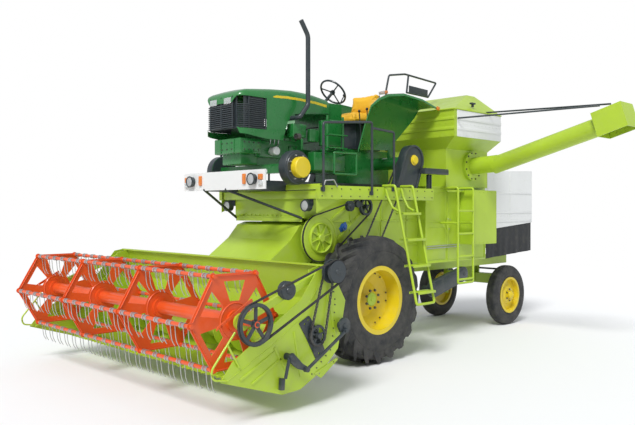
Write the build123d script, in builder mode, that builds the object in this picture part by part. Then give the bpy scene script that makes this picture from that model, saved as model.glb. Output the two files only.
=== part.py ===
"""Tractor mounted combine harvester, in millimetres.

Sizes are written in the machine's own frame: +X to its left, +Y to its rear, +Z up,
x = 0 on the centre plane, y = 0 at the drive axle and z = 0 on the ground.
Each finished piece is moved by ORIGIN, so the model's origin lies on the ground
under the middle of the whole machine.
"""

from build123d import *
from math import cos, hypot, radians, sin
import os

os.makedirs("parts", exist_ok=True)

# Clearances
FIT = 0.3
RUN = 6.0

# Drive wheels, 16.9-28
DRIVE_WHEEL_X = 935.0
DRIVE_WHEEL_Z = 720.0
DRIVE_TYRE_RADIUS = 720.0
DRIVE_TYRE_WIDTH = 430.0
DRIVE_BEAD_RADIUS = 356.0
DRIVE_FLANGE_RADIUS = 385.0
DRIVE_LUG_HEIGHT = 38.0
DRIVE_LUG_WIDTH = 48.0
DRIVE_LUGS = 20
DRIVE_DISC_INSET = 50.0
DRIVE_HUB_RADIUS = 150.0
DRIVE_AXLE_RADIUS = 85.0

# Towing clevis at the rear
HITCH_Y = 3830.0
HITCH_RADIUS = 16.0
HITCH_LENGTH = 90.0

# Rear wheels, 6.50-20, on a steered axle
REAR_WHEEL_X = 620.0
REAR_WHEEL_Y = 3500.0
REAR_TYRE_RADIUS = 442.5
REAR_TYRE_WIDTH = 185.0
REAR_BEAD_RADIUS = 254.0
REAR_FLANGE_RADIUS = 270.0
KINGPIN_X = 470.0
KINGPIN_RADIUS = 20.0
REAR_BEAM_HEIGHT = 150.0
REAR_BEAM_DEPTH = 110.0
STEER_ARM = 160.0
TIE_ROD_RADIUS = 14.0

# Threshing body and its frame
BODY_HALF = 600.0
BODY_WIDE_HALF = 720.0
BODY_FRONT_Y = -290.0
BODY_WIDE_Y = (1355.0, 2770.0)
BODY_FLOOR_Z = 1030.0
DECK_Z = 1850.0
RAIL_HEIGHT = 120.0
RAIL_WIDTH = 70.0
RAIL_X = 450.0
PLATE = 8.0
TRACTOR_BASE_Z = 2060.0

# Header: its parts turn up about the feeder shaft
LIFT_Y = -505.0
LIFT_Z = 1419.0
LIFT_SHAFT_RADIUS = 30.0
FEEDER_HALF = 560.0
HEADER_HALF = 1830.0
SHEET = 6.0
LIFT_BASE_Y = -320.0
LIFT_BASE_Z = 850.0
LIFT_ROD_Y = -960.0
LIFT_ROD_Z = 740.0
LIFT_BORE = 45.0
AUGER_Y = -1740.0
AUGER_Z = 570.0
AUGER_RADIUS = 125.0
FLIGHT_RADIUS = 205.0
KNIFE_Y = -2112.0
KNIFE_Z = 228.0

# Hood
HOOD_REAR_Y = 4330.0

# Reel
REEL_Y = -2479.0
REEL_Z = 831.0
REEL_RADIUS = 432.0
REEL_HALF = 1686.0
REEL_TUBE_RADIUS = 60.0
BAT_RADIUS = 17.0
TINE_LENGTH = 200.0
TINE_RAKE = 50.0
TINES_PER_BAY = 5
REEL_PIVOT_Y = -1620.0
REEL_PIVOT_Z = 1160.0
REEL_PIN_RADIUS = 15.0
REEL_SHAFT_RADIUS = 26.0

# Unloading auger
UNLOADER_Y = 2315.0
UNLOADER_Z = 2335.0
UNLOADER_RADIUS = 115.0
UNLOADER_HINGE_X = 850.0
SPOUT_X = 2775.0
SPOUT_Z = 2790.0

# Overall reach, which places the origin
REACH_X = (-HEADER_HALF - SHEET, SPOUT_X + 221)
REACH_Y = (REEL_Y - REEL_RADIUS - BAT_RADIUS, HOOD_REAR_Y)
ORIGIN = Vector((REACH_X[0] + REACH_X[1]) / 2, (REACH_Y[0] + REACH_Y[1]) / 2, 0)


def save(piece, name):
    """Move a finished piece to the model's origin, label it and write its file."""
    piece.part = piece.part.moved(Location(-ORIGIN))
    piece.part.label = name
    export_step(piece.part, f"parts/{name}.step")


def block(x, y, z, mode=Mode.ADD):
    """Add a box that spans three (low, high) pairs."""
    centre = (sum(x) / 2, sum(y) / 2, sum(z) / 2)
    with Locations(centre):
        Box(x[1] - x[0], y[1] - y[0], z[1] - z[0], mode=mode)


def rod(start, end, radius, mode=Mode.ADD):
    """Add a round rod from one point to another."""
    along = Vector(*end) - Vector(*start)
    with BuildSketch(Plane(origin=start, z_dir=along)) as section:
        Circle(radius)
    extrude(to_extrude=section.sketch, amount=along.length, mode=mode)


def bar(start, end, width, depth):
    """Add a rectangular bar, its width level, from one point to another."""
    along = Vector(*end) - Vector(*start)
    level = Vector(0, 0, 1).cross(along)
    level = level if level.length > 1 else Vector(1, 0, 0)
    with BuildSketch(Plane(origin=start, x_dir=level, z_dir=along)) as section:
        Rectangle(width, depth)
    extrude(to_extrude=section.sketch, amount=along.length)


def pipe(points, radius, bend):
    """Add a round pipe along straight runs joined by arcs of one radius."""
    with BuildLine() as path:
        FilletPolyline(*points, radius=bend)
    with BuildSketch(Plane(origin=path.line @ 0, z_dir=path.line % 0)) as section:
        Circle(radius)
    sweep(sections=section.sketch, path=path.line)


def side_plate(outline, x, mode=Mode.ADD):
    """Add a plate whose outline is (y, z) points, between two x values."""
    with BuildSketch(Plane.YZ.offset(x[0])) as face:
        with BuildLine():
            Polyline(*outline, close=True)
        make_face()
    extrude(to_extrude=face.sketch, amount=x[1] - x[0], mode=mode)


def disc(x, y, z, radius, mode=Mode.ADD):
    """Add a cylinder with its axis along X, between two x values."""
    with BuildSketch(Plane.YZ.offset(x[0])) as face:
        with Locations((y, z)):
            Circle(radius)
    extrude(to_extrude=face.sketch, amount=x[1] - x[0], mode=mode)


def lathe(y, z, outline):
    """Add a turned form about an X axis through (y, z); outline is (x, radius) points."""
    turned = Plane(origin=(0, y, z), x_dir=(1, 0, 0), z_dir=(0, -1, 0))
    with BuildSketch(turned) as half:
        with BuildLine():
            Polyline(*outline, close=True)
        make_face()
    revolve(profiles=half.sketch, axis=Axis((0, y, z), (1, 0, 0)))


def wheel_outline(x, side, points):
    """Mirror (x, radius) points to one side of the machine."""
    return [(x + side * across, radius) for across, radius in points]


SIDES = (("left", 1), ("right", -1))

# Drive wheels
DRIVE_TYRE_OUTLINE = [
    # across, radius
    (-180, DRIVE_BEAD_RADIUS),
    (-180, DRIVE_FLANGE_RADIUS + 6),
    (-DRIVE_TYRE_WIDTH / 2, 500),
    (-DRIVE_TYRE_WIDTH / 2, 600),
    (-185, DRIVE_TYRE_RADIUS - DRIVE_LUG_HEIGHT - 20),
    (0, DRIVE_TYRE_RADIUS - DRIVE_LUG_HEIGHT),
    (185, DRIVE_TYRE_RADIUS - DRIVE_LUG_HEIGHT - 20),
    (DRIVE_TYRE_WIDTH / 2, 600),
    (DRIVE_TYRE_WIDTH / 2, 500),
    (180, DRIVE_FLANGE_RADIUS + 6),
    (180, DRIVE_BEAD_RADIUS),
]
DRIVE_RIM_OUTLINE = [
    # across, radius: barrel and flanges outside, disc and hub seat inside
    (-190, DRIVE_BEAD_RADIUS - 30),
    (-190, DRIVE_FLANGE_RADIUS),
    (-180 - FIT, DRIVE_FLANGE_RADIUS),
    (-180 - FIT, DRIVE_BEAD_RADIUS - FIT),
    (180 + FIT, DRIVE_BEAD_RADIUS - FIT),
    (180 + FIT, DRIVE_FLANGE_RADIUS),
    (190, DRIVE_FLANGE_RADIUS),
    (190, DRIVE_BEAD_RADIUS - 20),
    (10, DRIVE_BEAD_RADIUS - 30),
    (-DRIVE_DISC_INSET, 200),
    (-DRIVE_DISC_INSET, 0),
    (-DRIVE_DISC_INSET - 14, 0),
    (-DRIVE_DISC_INSET - 14, 200),
    (-10, DRIVE_BEAD_RADIUS - 30),
]
for side_name, side in SIDES:
    with BuildPart() as drive_tyre:
        x = side * DRIVE_WHEEL_X
        lathe(0, DRIVE_WHEEL_Z, wheel_outline(x, side, DRIVE_TYRE_OUTLINE))
        lug_length = 270
        lug_radius = DRIVE_TYRE_RADIUS - DRIVE_LUG_HEIGHT - 4
        for row in (1, -1):
            for count in range(DRIVE_LUGS):
                turn = 360 / DRIVE_LUGS * (count + (0.5 if row < 0 else 0))
                with Locations(
                    Location((x, 0, DRIVE_WHEEL_Z))
                    * Location((0, 0, 0), (turn, 0, 0))
                    * Location((row * 105, 0, lug_radius), (0, 0, row * side * 45))
                ):
                    Box(lug_length, DRIVE_LUG_WIDTH, 2 * DRIVE_LUG_HEIGHT)
    save(drive_tyre, f"drive_tyre_{side_name}")

    with BuildPart() as drive_rim:
        lathe(0, DRIVE_WHEEL_Z, wheel_outline(x, side, DRIVE_RIM_OUTLINE))
    save(drive_rim, f"drive_rim_{side_name}")

# Drive axle, with a flange against each wheel disc
with BuildPart() as drive_axle:
    flange_x = DRIVE_WHEEL_X - DRIVE_DISC_INSET - 14
    lathe(0, DRIVE_WHEEL_Z, [
        (-flange_x + FIT, 0),
        (-flange_x + FIT, DRIVE_HUB_RADIUS),
        (-flange_x + 30, DRIVE_HUB_RADIUS),
        (-flange_x + 60, DRIVE_AXLE_RADIUS),
        (flange_x - 60, DRIVE_AXLE_RADIUS),
        (flange_x - 30, DRIVE_HUB_RADIUS),
        (flange_x - FIT, DRIVE_HUB_RADIUS),
        (flange_x - FIT, 0),
    ])
    block((-170, 170), (-190, 190), (DRIVE_WHEEL_Z - 170, DRIVE_WHEEL_Z + 170))
save(drive_axle, "drive_axle")

# Main frame: two rails, cross members, axle seats and the rear pivot
RAIL_TOP = BODY_FLOOR_Z - 1
with BuildPart() as main_frame:
    for side in (1, -1):
        rail_x = (side * RAIL_X - RAIL_WIDTH / 2, side * RAIL_X + RAIL_WIDTH / 2)
        block(rail_x, (-300, 3750), (RAIL_TOP - RAIL_HEIGHT, RAIL_TOP))
        seat_top = RAIL_TOP - RAIL_HEIGHT
        block(rail_x, (-80, 80), (DRIVE_WHEEL_Z + DRIVE_AXLE_RADIUS + FIT, seat_top + 10))
    for cross_y in (-260, 1200, 3250, 3700):
        block((-RAIL_X, RAIL_X), (cross_y - 35, cross_y + 35), (RAIL_TOP - RAIL_HEIGHT, RAIL_TOP))
    pivot_z = (DRIVE_WHEEL_Z - 80, RAIL_TOP)
    for pivot_y in (REAR_WHEEL_Y - 110, REAR_WHEEL_Y + 80):
        block((-90, 90), (pivot_y, pivot_y + 30), (620, RAIL_TOP))
    rod((0, REAR_WHEEL_Y - 120, 675), (0, REAR_WHEEL_Y + 120, 675), 25 + FIT, mode=Mode.SUBTRACT)
    block((-RAIL_X, RAIL_X), (REAR_WHEEL_Y - 110, REAR_WHEEL_Y + 110), (RAIL_TOP - 60, RAIL_TOP))
    hitch_z = RAIL_TOP - RAIL_HEIGHT / 2
    for plate_z in (hitch_z - HITCH_LENGTH / 2, hitch_z + HITCH_LENGTH / 2 - 15):
        block((-50, 50), (3700, HITCH_Y + 50), (plate_z, plate_z + 15))
    rod((0, HITCH_Y, hitch_z - 80), (0, HITCH_Y, hitch_z + 80), HITCH_RADIUS, mode=Mode.SUBTRACT)
    for side in (1, -1):
        side_plate([(-295, 1000), (-225, 1000), (-270, 800), (-370, 800), (-370, 880)],
                   sorted((side * 285, side * 305)))
        disc(sorted((side * 295, side * 400)), LIFT_BASE_Y, LIFT_BASE_Z, 20)
save(main_frame, "main_frame")

# Rear axle beam with an eye at each end
with BuildPart() as rear_axle:
    beam_z = (600.0, 600.0 + REAR_BEAM_HEIGHT)
    block((-420, 420), (REAR_WHEEL_Y - 55, REAR_WHEEL_Y + 55), beam_z)
    for side in (1, -1):
        with Locations((side * KINGPIN_X, REAR_WHEEL_Y, sum(beam_z) / 2)):
            Cylinder(40, 130)
        block(sorted((side * 400, side * KINGPIN_X)), (REAR_WHEEL_Y - 40, REAR_WHEEL_Y + 40),
              (beam_z[0] + 10, beam_z[1] - 10))
        with Locations((side * KINGPIN_X, REAR_WHEEL_Y, sum(beam_z) / 2)):
            Cylinder(KINGPIN_RADIUS + FIT, 200, mode=Mode.SUBTRACT)
    rod((0, REAR_WHEEL_Y - 100, 675), (0, REAR_WHEEL_Y + 100, 675), 25)
save(rear_axle, "rear_axle")

# Steering knuckles, wheels and tie rod
REAR_TYRE_OUTLINE = [
    # across, radius
    (-70, REAR_BEAD_RADIUS),
    (-70, REAR_FLANGE_RADIUS + 5),
    (-REAR_TYRE_WIDTH / 2, 320),
    (-REAR_TYRE_WIDTH / 2, 370),
    (-72, REAR_TYRE_RADIUS - 16),
    (-50, REAR_TYRE_RADIUS),
    (50, REAR_TYRE_RADIUS),
    (72, REAR_TYRE_RADIUS - 16),
    (REAR_TYRE_WIDTH / 2, 370),
    (REAR_TYRE_WIDTH / 2, 320),
    (70, REAR_FLANGE_RADIUS + 5),
    (70, REAR_BEAD_RADIUS),
]
REAR_RIM_OUTLINE = [
    # across, radius
    (-80, REAR_BEAD_RADIUS - 16),
    (-80, REAR_FLANGE_RADIUS),
    (-70 - FIT, REAR_FLANGE_RADIUS),
    (-70 - FIT, REAR_BEAD_RADIUS - FIT),
    (70 + FIT, REAR_BEAD_RADIUS - FIT),
    (70 + FIT, REAR_FLANGE_RADIUS),
    (80, REAR_FLANGE_RADIUS),
    (80, REAR_BEAD_RADIUS - 16),
    (10, REAR_BEAD_RADIUS - 22),
    (30, 150),
    (60, 110),
    (60, 0),
    (48, 0),
    (48, 105),
    (20, 150),
    (-5, REAR_BEAD_RADIUS - 22),
]
AXLE_MID_Z = 675.0
WHEEL_MID_Z = REAR_TYRE_RADIUS
for side_name, side in SIDES:
    x = side * REAR_WHEEL_X
    with BuildPart() as rear_tyre:
        lathe(REAR_WHEEL_Y, WHEEL_MID_Z, wheel_outline(x, side, REAR_TYRE_OUTLINE))
    save(rear_tyre, f"rear_tyre_{side_name}")

    with BuildPart() as rear_rim:
        lathe(REAR_WHEEL_Y, WHEEL_MID_Z, wheel_outline(x, side, REAR_RIM_OUTLINE))
        disc(sorted((x + side * 60, x + side * 100)), REAR_WHEEL_Y, WHEEL_MID_Z, 62)
    save(rear_rim, f"rear_rim_{side_name}")

    with BuildPart() as knuckle:
        pin_x = side * KINGPIN_X
        rod((pin_x, REAR_WHEEL_Y, 400), (pin_x, REAR_WHEEL_Y, 800), KINGPIN_RADIUS)
        for ear_z in ((740 + RUN, 790), (380, 610 - RUN)):
            with Locations((pin_x, REAR_WHEEL_Y, sum(ear_z) / 2)):
                Cylinder(36, ear_z[1] - ear_z[0])
        spindle_end = side * (REAR_WHEEL_X + 48 - FIT)
        rod((pin_x, REAR_WHEEL_Y, WHEEL_MID_Z), (spindle_end, REAR_WHEEL_Y, WHEEL_MID_Z), 32)
        arm_x = (pin_x - 25, pin_x + 25)
        block(arm_x, (REAR_WHEEL_Y, REAR_WHEEL_Y + STEER_ARM + 25), (770, 790))
        arm_y = REAR_WHEEL_Y + STEER_ARM
        rod((pin_x, arm_y, 780), (pin_x, arm_y, 790 + 42), 9)
    save(knuckle, f"knuckle_{side_name}")

with BuildPart() as tie_rod:
    rod_y = REAR_WHEEL_Y + STEER_ARM
    rod_z = 790 + FIT + 18
    rod((-KINGPIN_X, rod_y, rod_z), (KINGPIN_X, rod_y, rod_z), TIE_ROD_RADIUS)
    for side in (1, -1):
        with Locations((side * KINGPIN_X, rod_y, rod_z)):
            Cylinder(22, 36)
            Cylinder(9 + FIT, 60, mode=Mode.SUBTRACT)
save(tie_rod, "tie_rod")

# Threshing body: a narrow front between the wheels and a wide rear
with BuildPart() as thresher_body:
    side_plate([
        (BODY_FRONT_Y, 1050), (BODY_FRONT_Y, 1600), (-672, 1640), (-672, DECK_Z),
        (2860, DECK_Z), (2860, 1180), (2500, BODY_FLOOR_Z), (-200, BODY_FLOOR_Z),
    ], (-BODY_HALF, BODY_HALF))
    block((-BODY_WIDE_HALF, BODY_WIDE_HALF), BODY_WIDE_Y, (BODY_FLOOR_Z, 2040))
    for side in (1, -1):
        side_plate([
            (BODY_FRONT_Y + 10, 1290), (BODY_FRONT_Y + 10, 1550), (LIFT_Y + 60, 1510),
            (LIFT_Y - 65, LIFT_Z + 45), (LIFT_Y - 65, LIFT_Z - 45), (LIFT_Y + 60, 1330),
        ], sorted((side * (FEEDER_HALF + 15), side * BODY_HALF)))
    disc((-BODY_HALF - 10, BODY_HALF + 10), LIFT_Y, LIFT_Z, LIFT_SHAFT_RADIUS + FIT,
         mode=Mode.SUBTRACT)
save(thresher_body, "thresher_body")

with BuildPart() as feeder_apron:
    block((-590, 590), (-708, -702), (1602, 1660))
    block((-590, 590), (-702, -700 - FIT), (1642, 1660))
save(feeder_apron, "feeder_apron")

# Deck: side beams, cross beams and floor under the tractor
BOARD_Y = (-1360.0, -1345.0)
with BuildPart() as deck_frame:
    for side in (1, -1):
        block(sorted((side * 830, side * 900)), (-1480, 1300), (DECK_Z + FIT, 2000))
        block(sorted((side * 280, side * 360)), (BOARD_Y[1] + FIT, 1270), (1940, TRACTOR_BASE_Z))
    for cross_y in (-1440, -690, 150, 1260):
        block((-870, 870), (cross_y - 35, cross_y + 35), (DECK_Z + FIT, 1950))
    block((-600, 600), (300, 1240), (1900, 1948))
    block((-620, 620), (-700, -680), (1640, 1900))
save(deck_frame, "deck_frame")

# Front board with two round lamps, and its two braces
with BuildPart() as front_board:
    block((-740, 740), BOARD_Y, (1950 + FIT, 2155))
    block((-700, 700), (BOARD_Y[1], -1300), (2120, 2150))
save(front_board, "front_board")

# Tractor: transmission and front casting, engine, cowl, axle
with BuildPart() as tractor_chassis:
    block((-130, 130), (-1180, -330), (2240 + FIT, 2330))
    block((-190, 190), (260, 1250), (TRACTOR_BASE_Z + FIT, 2500))
    block((-150, 150), (-330, 260), (2180, 2450))
    rod((-640, 1021, 2330), (640, 1021, 2330), 80)
    for y in (-280, -20):
        rod((560, y, 2420), (560, y, 2820), 14)
    for z in (2450, 2600, 2760):
        block((500, 620), (-300, 0), (z - 6, z + 6))
    rod((140, -150, 2420), (560, -150, 2450), 20)
save(tractor_chassis, "tractor_chassis")

with BuildPart() as engine:
    block((-170, 170), (-900, -330 - FIT), (2330 + FIT, 2640))
save(engine, "engine")

with BuildPart() as tractor_front_axle:
    block((-600, 600), (-930, -820), (2140, 2240))
    for side in (1, -1):
        disc(sorted((side * 600, side * 690)), -875, 2190, 183)
        disc(sorted((side * 690, side * 770)), -875, 2190, 110)
    block((-100, 100), (-930, -820), (TRACTOR_BASE_Z + FIT, 2160))
save(tractor_front_axle, "tractor_front_axle")

BONNET_HALF = 330.0
BONNET_PIVOT = (-30.0, 3030.0)
with BuildPart() as bonnet:
    side_plate([
        (-1350, 2700), (-1370, 2970), (-1230, 3050), (-500, 3110), (-20, 3060),
        (-20, 2900), (-755, 2660), (-950, 2640), (-1200, 2640),
    ], (-BONNET_HALF, BONNET_HALF))
    side_plate([
        (-1340, 2690), (-1360, 2965), (-1226, 3042), (-500, 3100), (-10, 3050),
        (-10, 2600), (-755, 2600), (-950, 2600), (-1340, 2600),
    ], (-BONNET_HALF + 8, BONNET_HALF - 8), mode=Mode.SUBTRACT)
save(bonnet, "bonnet")

with BuildPart() as grille:
    block((-300, 300), (-1300, -980), (2560, 2900))
    block((-120, 120), (-1300, -980), (2330 + FIT, 2570))
save(grille, "grille")

with BuildPart() as cowl:
    block((-300, 300), (0, 230), (2640, 3020))
    block((-170, 170), (20, 230), (2450, 2660))
save(cowl, "cowl")

with BuildPart() as exhaust:
    pipe([(170 + FIT, -640, 2560), (450, -640, 2560), (450, -640, 2760), (450, -480, 2900),
          (450, -480, 3760), (450, -600, 3880)], 27, 40)
save(exhaust, "exhaust")

with BuildPart() as steering_wheel:
    wheel_plane = Plane(origin=(0, 420, 3262), x_dir=(1, 0, 0), z_dir=(0, 0.35, 1))
    with BuildSketch(wheel_plane) as hub:
        Circle(40)
    extrude(to_extrude=hub.sketch, amount=12, both=True)
    with Locations(wheel_plane.location):
        Torus(200, 14)
        for turn in (0, 120, 240):
            with Locations(Location((0, 0, 0), (0, 0, turn)) * Location((105, 0, 0))):
                Box(210, 18, 8)
    rod((0, 420, 3262), (0, 249, 3000), 22)
save(steering_wheel, "steering_wheel")

with BuildPart() as seat:
    block((-230, 230), (600, 1040), (2860, 2950))
    side_plate([(980, 2930), (1060, 2930), (1150, 3260), (1090, 3270)], (-220, 220))
save(seat, "seat")

with BuildPart() as seat_frame:
    block((-150, 150), (700, 950), (2500 + FIT, 2860 - FIT))
    rod((-300, 1070, 2512 + FIT), (300, 1070, 2512 + FIT), 12)
    for side in (1, -1):
        pipe([(side * 300, 1070, 2505), (side * 300, 1070, 3270), (side * 300, 1150, 3520),
              (side * 300, 1480, 3563), (side * 300, 2100, 3530)], 16, 30)
    rod((-300, 1470, 3563), (300, 1470, 3563), 12)
save(seat_frame, "seat_frame")

with BuildPart() as fenders:
    for side in (1, -1):
        side_plate([
            (281, 2986), (612, 3167), (943, 3180), (1590, 3062), (1500, 2960), (960, 2500),
            (452, 2460), (94, 2380), (60, 2420),
        ], sorted((side * 420, side * 432)))
        side_plate([
            (60, 2420), (281, 2986), (612, 3167), (943, 3180), (1590, 3062), (1590, 3050),
            (943, 3168), (614, 3155), (290, 2978), (72, 2420),
        ], sorted((side * 432, side * 760)))
        block(sorted((side * 400, side * 432)), (960, 1080), (2330 + 80 + FIT, 2560))
save(fenders, "fenders")

# Grain tank: an open bin on the body, tapered out to its upper walls
TANK_SKIN = 6.0
TANK_SECTIONS = [
    # z, half width, front y, rear y
    (2041.0, 780.0, 1730.0, 2730.0),
    (2545.0, 780.0, 1730.0, 2730.0),
    (2690.0, 1000.0, 1610.0, 2730.0),
    (3050.0, 1000.0, 1610.0, 2730.0),
]


def tank_section(z, half, front, rear):
    """Draw one level section of the tank."""
    with BuildSketch(Plane.XY.offset(z)) as section:
        with Locations((0, (front + rear) / 2)):
            Rectangle(2 * half, rear - front)
    return section.sketch


with BuildPart() as grain_tank:
    for low, high in zip(TANK_SECTIONS, TANK_SECTIONS[1:]):
        loft(sections=[tank_section(*low), tank_section(*high)])
    for low, high in zip(TANK_SECTIONS, TANK_SECTIONS[1:]):
        inner = []
        for z, half, front, rear in (low, high):
            z = z + (PLATE if z == TANK_SECTIONS[0][0] else 0)
            inner.append(tank_section(z, half - TANK_SKIN, front + TANK_SKIN, rear - TANK_SKIN))
        loft(sections=inner, mode=Mode.SUBTRACT)
    disc((780, 800), UNLOADER_Y, UNLOADER_Z, 200)
save(grain_tank, "grain_tank")

with BuildPart() as tank_panel:
    block((1000 + FIT, 1012), (1980, 2700), (2690, 3040))
save(tank_panel, "tank_panel")

with BuildPart() as elevator_head:
    side_plate([(2400, 3051), (2490, 3360), (2670, 3350), (2980, 3170), (2980, 2400),
                (2731, 2300), (2731, 3051)], (-600, -300))
save(elevator_head, "elevator_head")

# Rear hood, open below, with a curtain
HOOD_OUT = [(2860 + FIT, 1425), (2860 + FIT, 2060), (3000, 2300), (HOOD_REAR_Y, 2350), (HOOD_REAR_Y, 1530)]
HOOD_IN = [(2872, 1300), (2872, 2054), (3006, 2290), (4318, 2338), (4318, 1400)]
with BuildPart() as rear_hood:
    side_plate(HOOD_OUT, (-BODY_HALF, BODY_HALF))
    side_plate(HOOD_IN, (-BODY_HALF + PLATE, BODY_HALF - PLATE), mode=Mode.SUBTRACT)
save(rear_hood, "rear_hood")

with BuildPart() as hood_curtain:
    inner = BODY_HALF - PLATE - FIT
    side_plate([(3000, 1010), (3000, 1460), (4310, 1560), (4310, 1080)], (-inner, inner))
    side_plate([(3000, 900), (3000, 1600), (4302, 1700), (4302, 900)],
               (-inner + PLATE, inner - PLATE), mode=Mode.SUBTRACT)
save(hood_curtain, "hood_curtain")

# Tool box and its door
with BuildPart() as tool_box:
    block((BODY_WIDE_HALF + FIT, 940), (2140, 2700), (1260, 2000))
    block((BODY_WIDE_HALF + 10, 950), (2150, 2690), (1270, 1990), mode=Mode.SUBTRACT)
save(tool_box, "tool_box")

with BuildPart() as tool_door:
    block((940 + FIT, 952), (2142, 2698), (1262, 1998))
save(tool_door, "tool_door")

# Ladders and hand rails
with BuildPart() as ladders:
    for y in (330, 660):
        bar((1050, y, 2050), (1380, y, 640), 16, 45)
    for z in (1700, 1400, 1100, 800):
        x = 1050 + (2050 - z) / 1410 * 330
        block((x - 70, x + 70), (322, 668), (z - 6, z + 6))
    block((870, 1060), (330, 350), (2000, 2040))
    block((870, 1060), (640, 660), (2000, 2040))
    for y in (1660, 1950):
        rod((1000, y, 756), (1000, y, 2150), 15)
    for z in (772, 1070, 1370, 1670, 1970):
        rod((1000, 1660, z), (1000, 1950, z), 13)
    for z in (1560, 1960):
        block((BODY_WIDE_HALF + FIT, 1000), (1655, 1665), (z - 15, z + 15))
        block((BODY_WIDE_HALF + FIT, 1000), (1945, 1955), (z - 15, z + 15))
save(ladders, "ladders")

with BuildPart() as hand_rails:
    for side in (1, -1):
        pipe([(side * 915, -918, 1940), (side * 915, -918, 2640), (side * 915, -257, 2700),
              (side * 915, -190, 2600), (side * 915, -190, 1880)], 15, 45)
        pipe([(side * 915, 130, 1940), (side * 915, 130, 2680), (side * 915, 400, 2680),
              (side * 915, 400, 2010)], 15, 60)
    for top_x, low_x in ((60, 600), (-330, -600)):
        rod((top_x, -1376, 1940), (low_x, -740, 1625), 14)
save(hand_rails, "hand_rails")

# Final drive: a guard over each upper sprocket, and a chain down to the drive axle
HUB_Y = 1021.0
HUB_Z = 2356.0
CHAIN_X = 660.0
SPROCKET_RADIUS = 125.0
with BuildPart() as belt_drives:
    for side in (1, -1):
        guard = sorted((side * 700, side * 815))
        disc(guard, HUB_Y, HUB_Z, 190)
        side_plate([(835, HUB_Z), (1208, HUB_Z), (1060, 1960), (640, 1960)], guard)
        disc(sorted((side * 640, side * 705)), HUB_Y, HUB_Z, 60)
    disc((BODY_HALF + FIT, 700), -27, 1786, 110)
    disc((BODY_WIDE_HALF + FIT, 780), 1500, 1300, 180)
    block((BODY_WIDE_HALF + FIT, 790), (1400, 2200), (1040, 1130))
save(belt_drives, "belt_drives")

run = Vector(0, HUB_Y, HUB_Z - DRIVE_WHEEL_Z)
across = Vector(0, -run.Z, run.Y).normalized() * SPROCKET_RADIUS
with BuildPart() as drive_chains:
    for side in (1, -1):
        for edge in (1, -1):
            low = Vector(side * CHAIN_X, 0, DRIVE_WHEEL_Z) + across * edge
            top = Vector(side * CHAIN_X, HUB_Y, HUB_Z) + across * edge
            bar(low, low + (top - low) * 0.95, 30, 40)
        disc(sorted((side * (CHAIN_X - 20), side * (CHAIN_X + 20))), 0, DRIVE_WHEEL_Z, 140)
    disc((-CHAIN_X - 30, CHAIN_X + 30), 0, DRIVE_WHEEL_Z, DRIVE_AXLE_RADIUS + FIT,
         mode=Mode.SUBTRACT)
save(drive_chains, "drive_chains")

with BuildPart() as work_lamps:
    for side in (1, -1):
        with Locations(Location((side * 700, -735, 1780), (90, 0, 0))):
            Cylinder(62, 60)
        block(sorted((side * (620 + FIT), side * 760)), (-706, -690), (1780, 1850))
save(work_lamps, "work_lamps")

# Feeder hood, from the pan to the shaft it lifts about
with BuildPart() as feeder_hood:
    side_plate([
        (-1466.5, 1005), (-1200, 1150), (-850, 1400), (-712, 1555), (-600, 1590), (-470, 1590),
        (-360, 1540), (-330, 1419), (-360, 1320), (-450, 1230), (-960, 800), (-1478.5, 560),
        (-1438.5, 900),
    ], (-FEEDER_HALF, FEEDER_HALF))
    rod((-700, LIFT_Y, LIFT_Z), (700, LIFT_Y, LIFT_Z), LIFT_SHAFT_RADIUS)
    disc((640, 680), LIFT_Y, LIFT_Z, 253)
    disc((625, 695), LIFT_Y, LIFT_Z, 60)
    for side in (1, -1):
        side_plate([(-1040, 800), (-900, 900), (-880, 850), (-930, 700), (-990, 700)],
                   sorted((side * 440, side * 460)))
        rod((side * 330, LIFT_ROD_Y, LIFT_ROD_Z), (side * 460, LIFT_ROD_Y, LIFT_ROD_Z), 18)
save(feeder_hood, "feeder_hood")

# Header pan: back wall, trough and floor, with a side sheet at each end
PAN_BACK = [
    # y, z down the back and forward under the auger to the knife
    (-1530, 1240), (-1440, 900), (-1480, 560), (-1600, 350), (-1760, 268), (-2100, 220),
]
with BuildPart() as header_pan:
    side_plate(PAN_BACK + [
        (-2100, 232), (-1766, 280), (-1608, 360), (-1490, 566), (-1452, 902), (-1542, 1240),
    ], (-HEADER_HALF, HEADER_HALF))
    block((-HEADER_HALF, HEADER_HALF), (-1570, -1530), (1228, 1242))
    for side in (1, -1):
        side_plate([
            (-2733, 389), (-2616, 534), (-1885, 957), (-1668, 1220), (-1530, 1242),
            (-1322, 906), (-1420, 480), (-1600, 320), (-1885, 189), (-2092, 180),
        ], sorted((side * HEADER_HALF, side * (HEADER_HALF + SHEET))))
        side_plate([(-1690, 1110), (-1690, 1200), (-1530, 1240), (-1497, 1110)],
                   sorted((side * 1728, side * 1740)))
        disc(sorted((side * 1735, side * 1832)), REEL_PIVOT_Y, REEL_PIVOT_Z, REEL_PIN_RADIUS)
save(header_pan, "header_pan")

with BuildPart() as cutter_bar:
    block((-HEADER_HALF + 2, HEADER_HALF - 2), (-2180, -2100 - FIT), (218, 228))
    for count in range(24):
        x = -1750 + count * 3500 / 23
        block((x - 10, x + 10), (-2190, -2110), (214, 240))
save(cutter_bar, "cutter_bar")

with BuildPart() as header_auger:
    rod((-HEADER_HALF + RUN, AUGER_Y, AUGER_Z), (HEADER_HALF - RUN, AUGER_Y, AUGER_Z), AUGER_RADIUS)
    for side in (1, -1):
        for count in range(6):
            x = side * (400 + count * 250)
            disc((x - 3, x + 3), AUGER_Y, AUGER_Z, FLIGHT_RADIUS)
    rod((-HEADER_HALF + FIT, AUGER_Y, AUGER_Z), (HEADER_HALF - FIT, AUGER_Y, AUGER_Z), 25)
save(header_auger, "header_auger")

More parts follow.
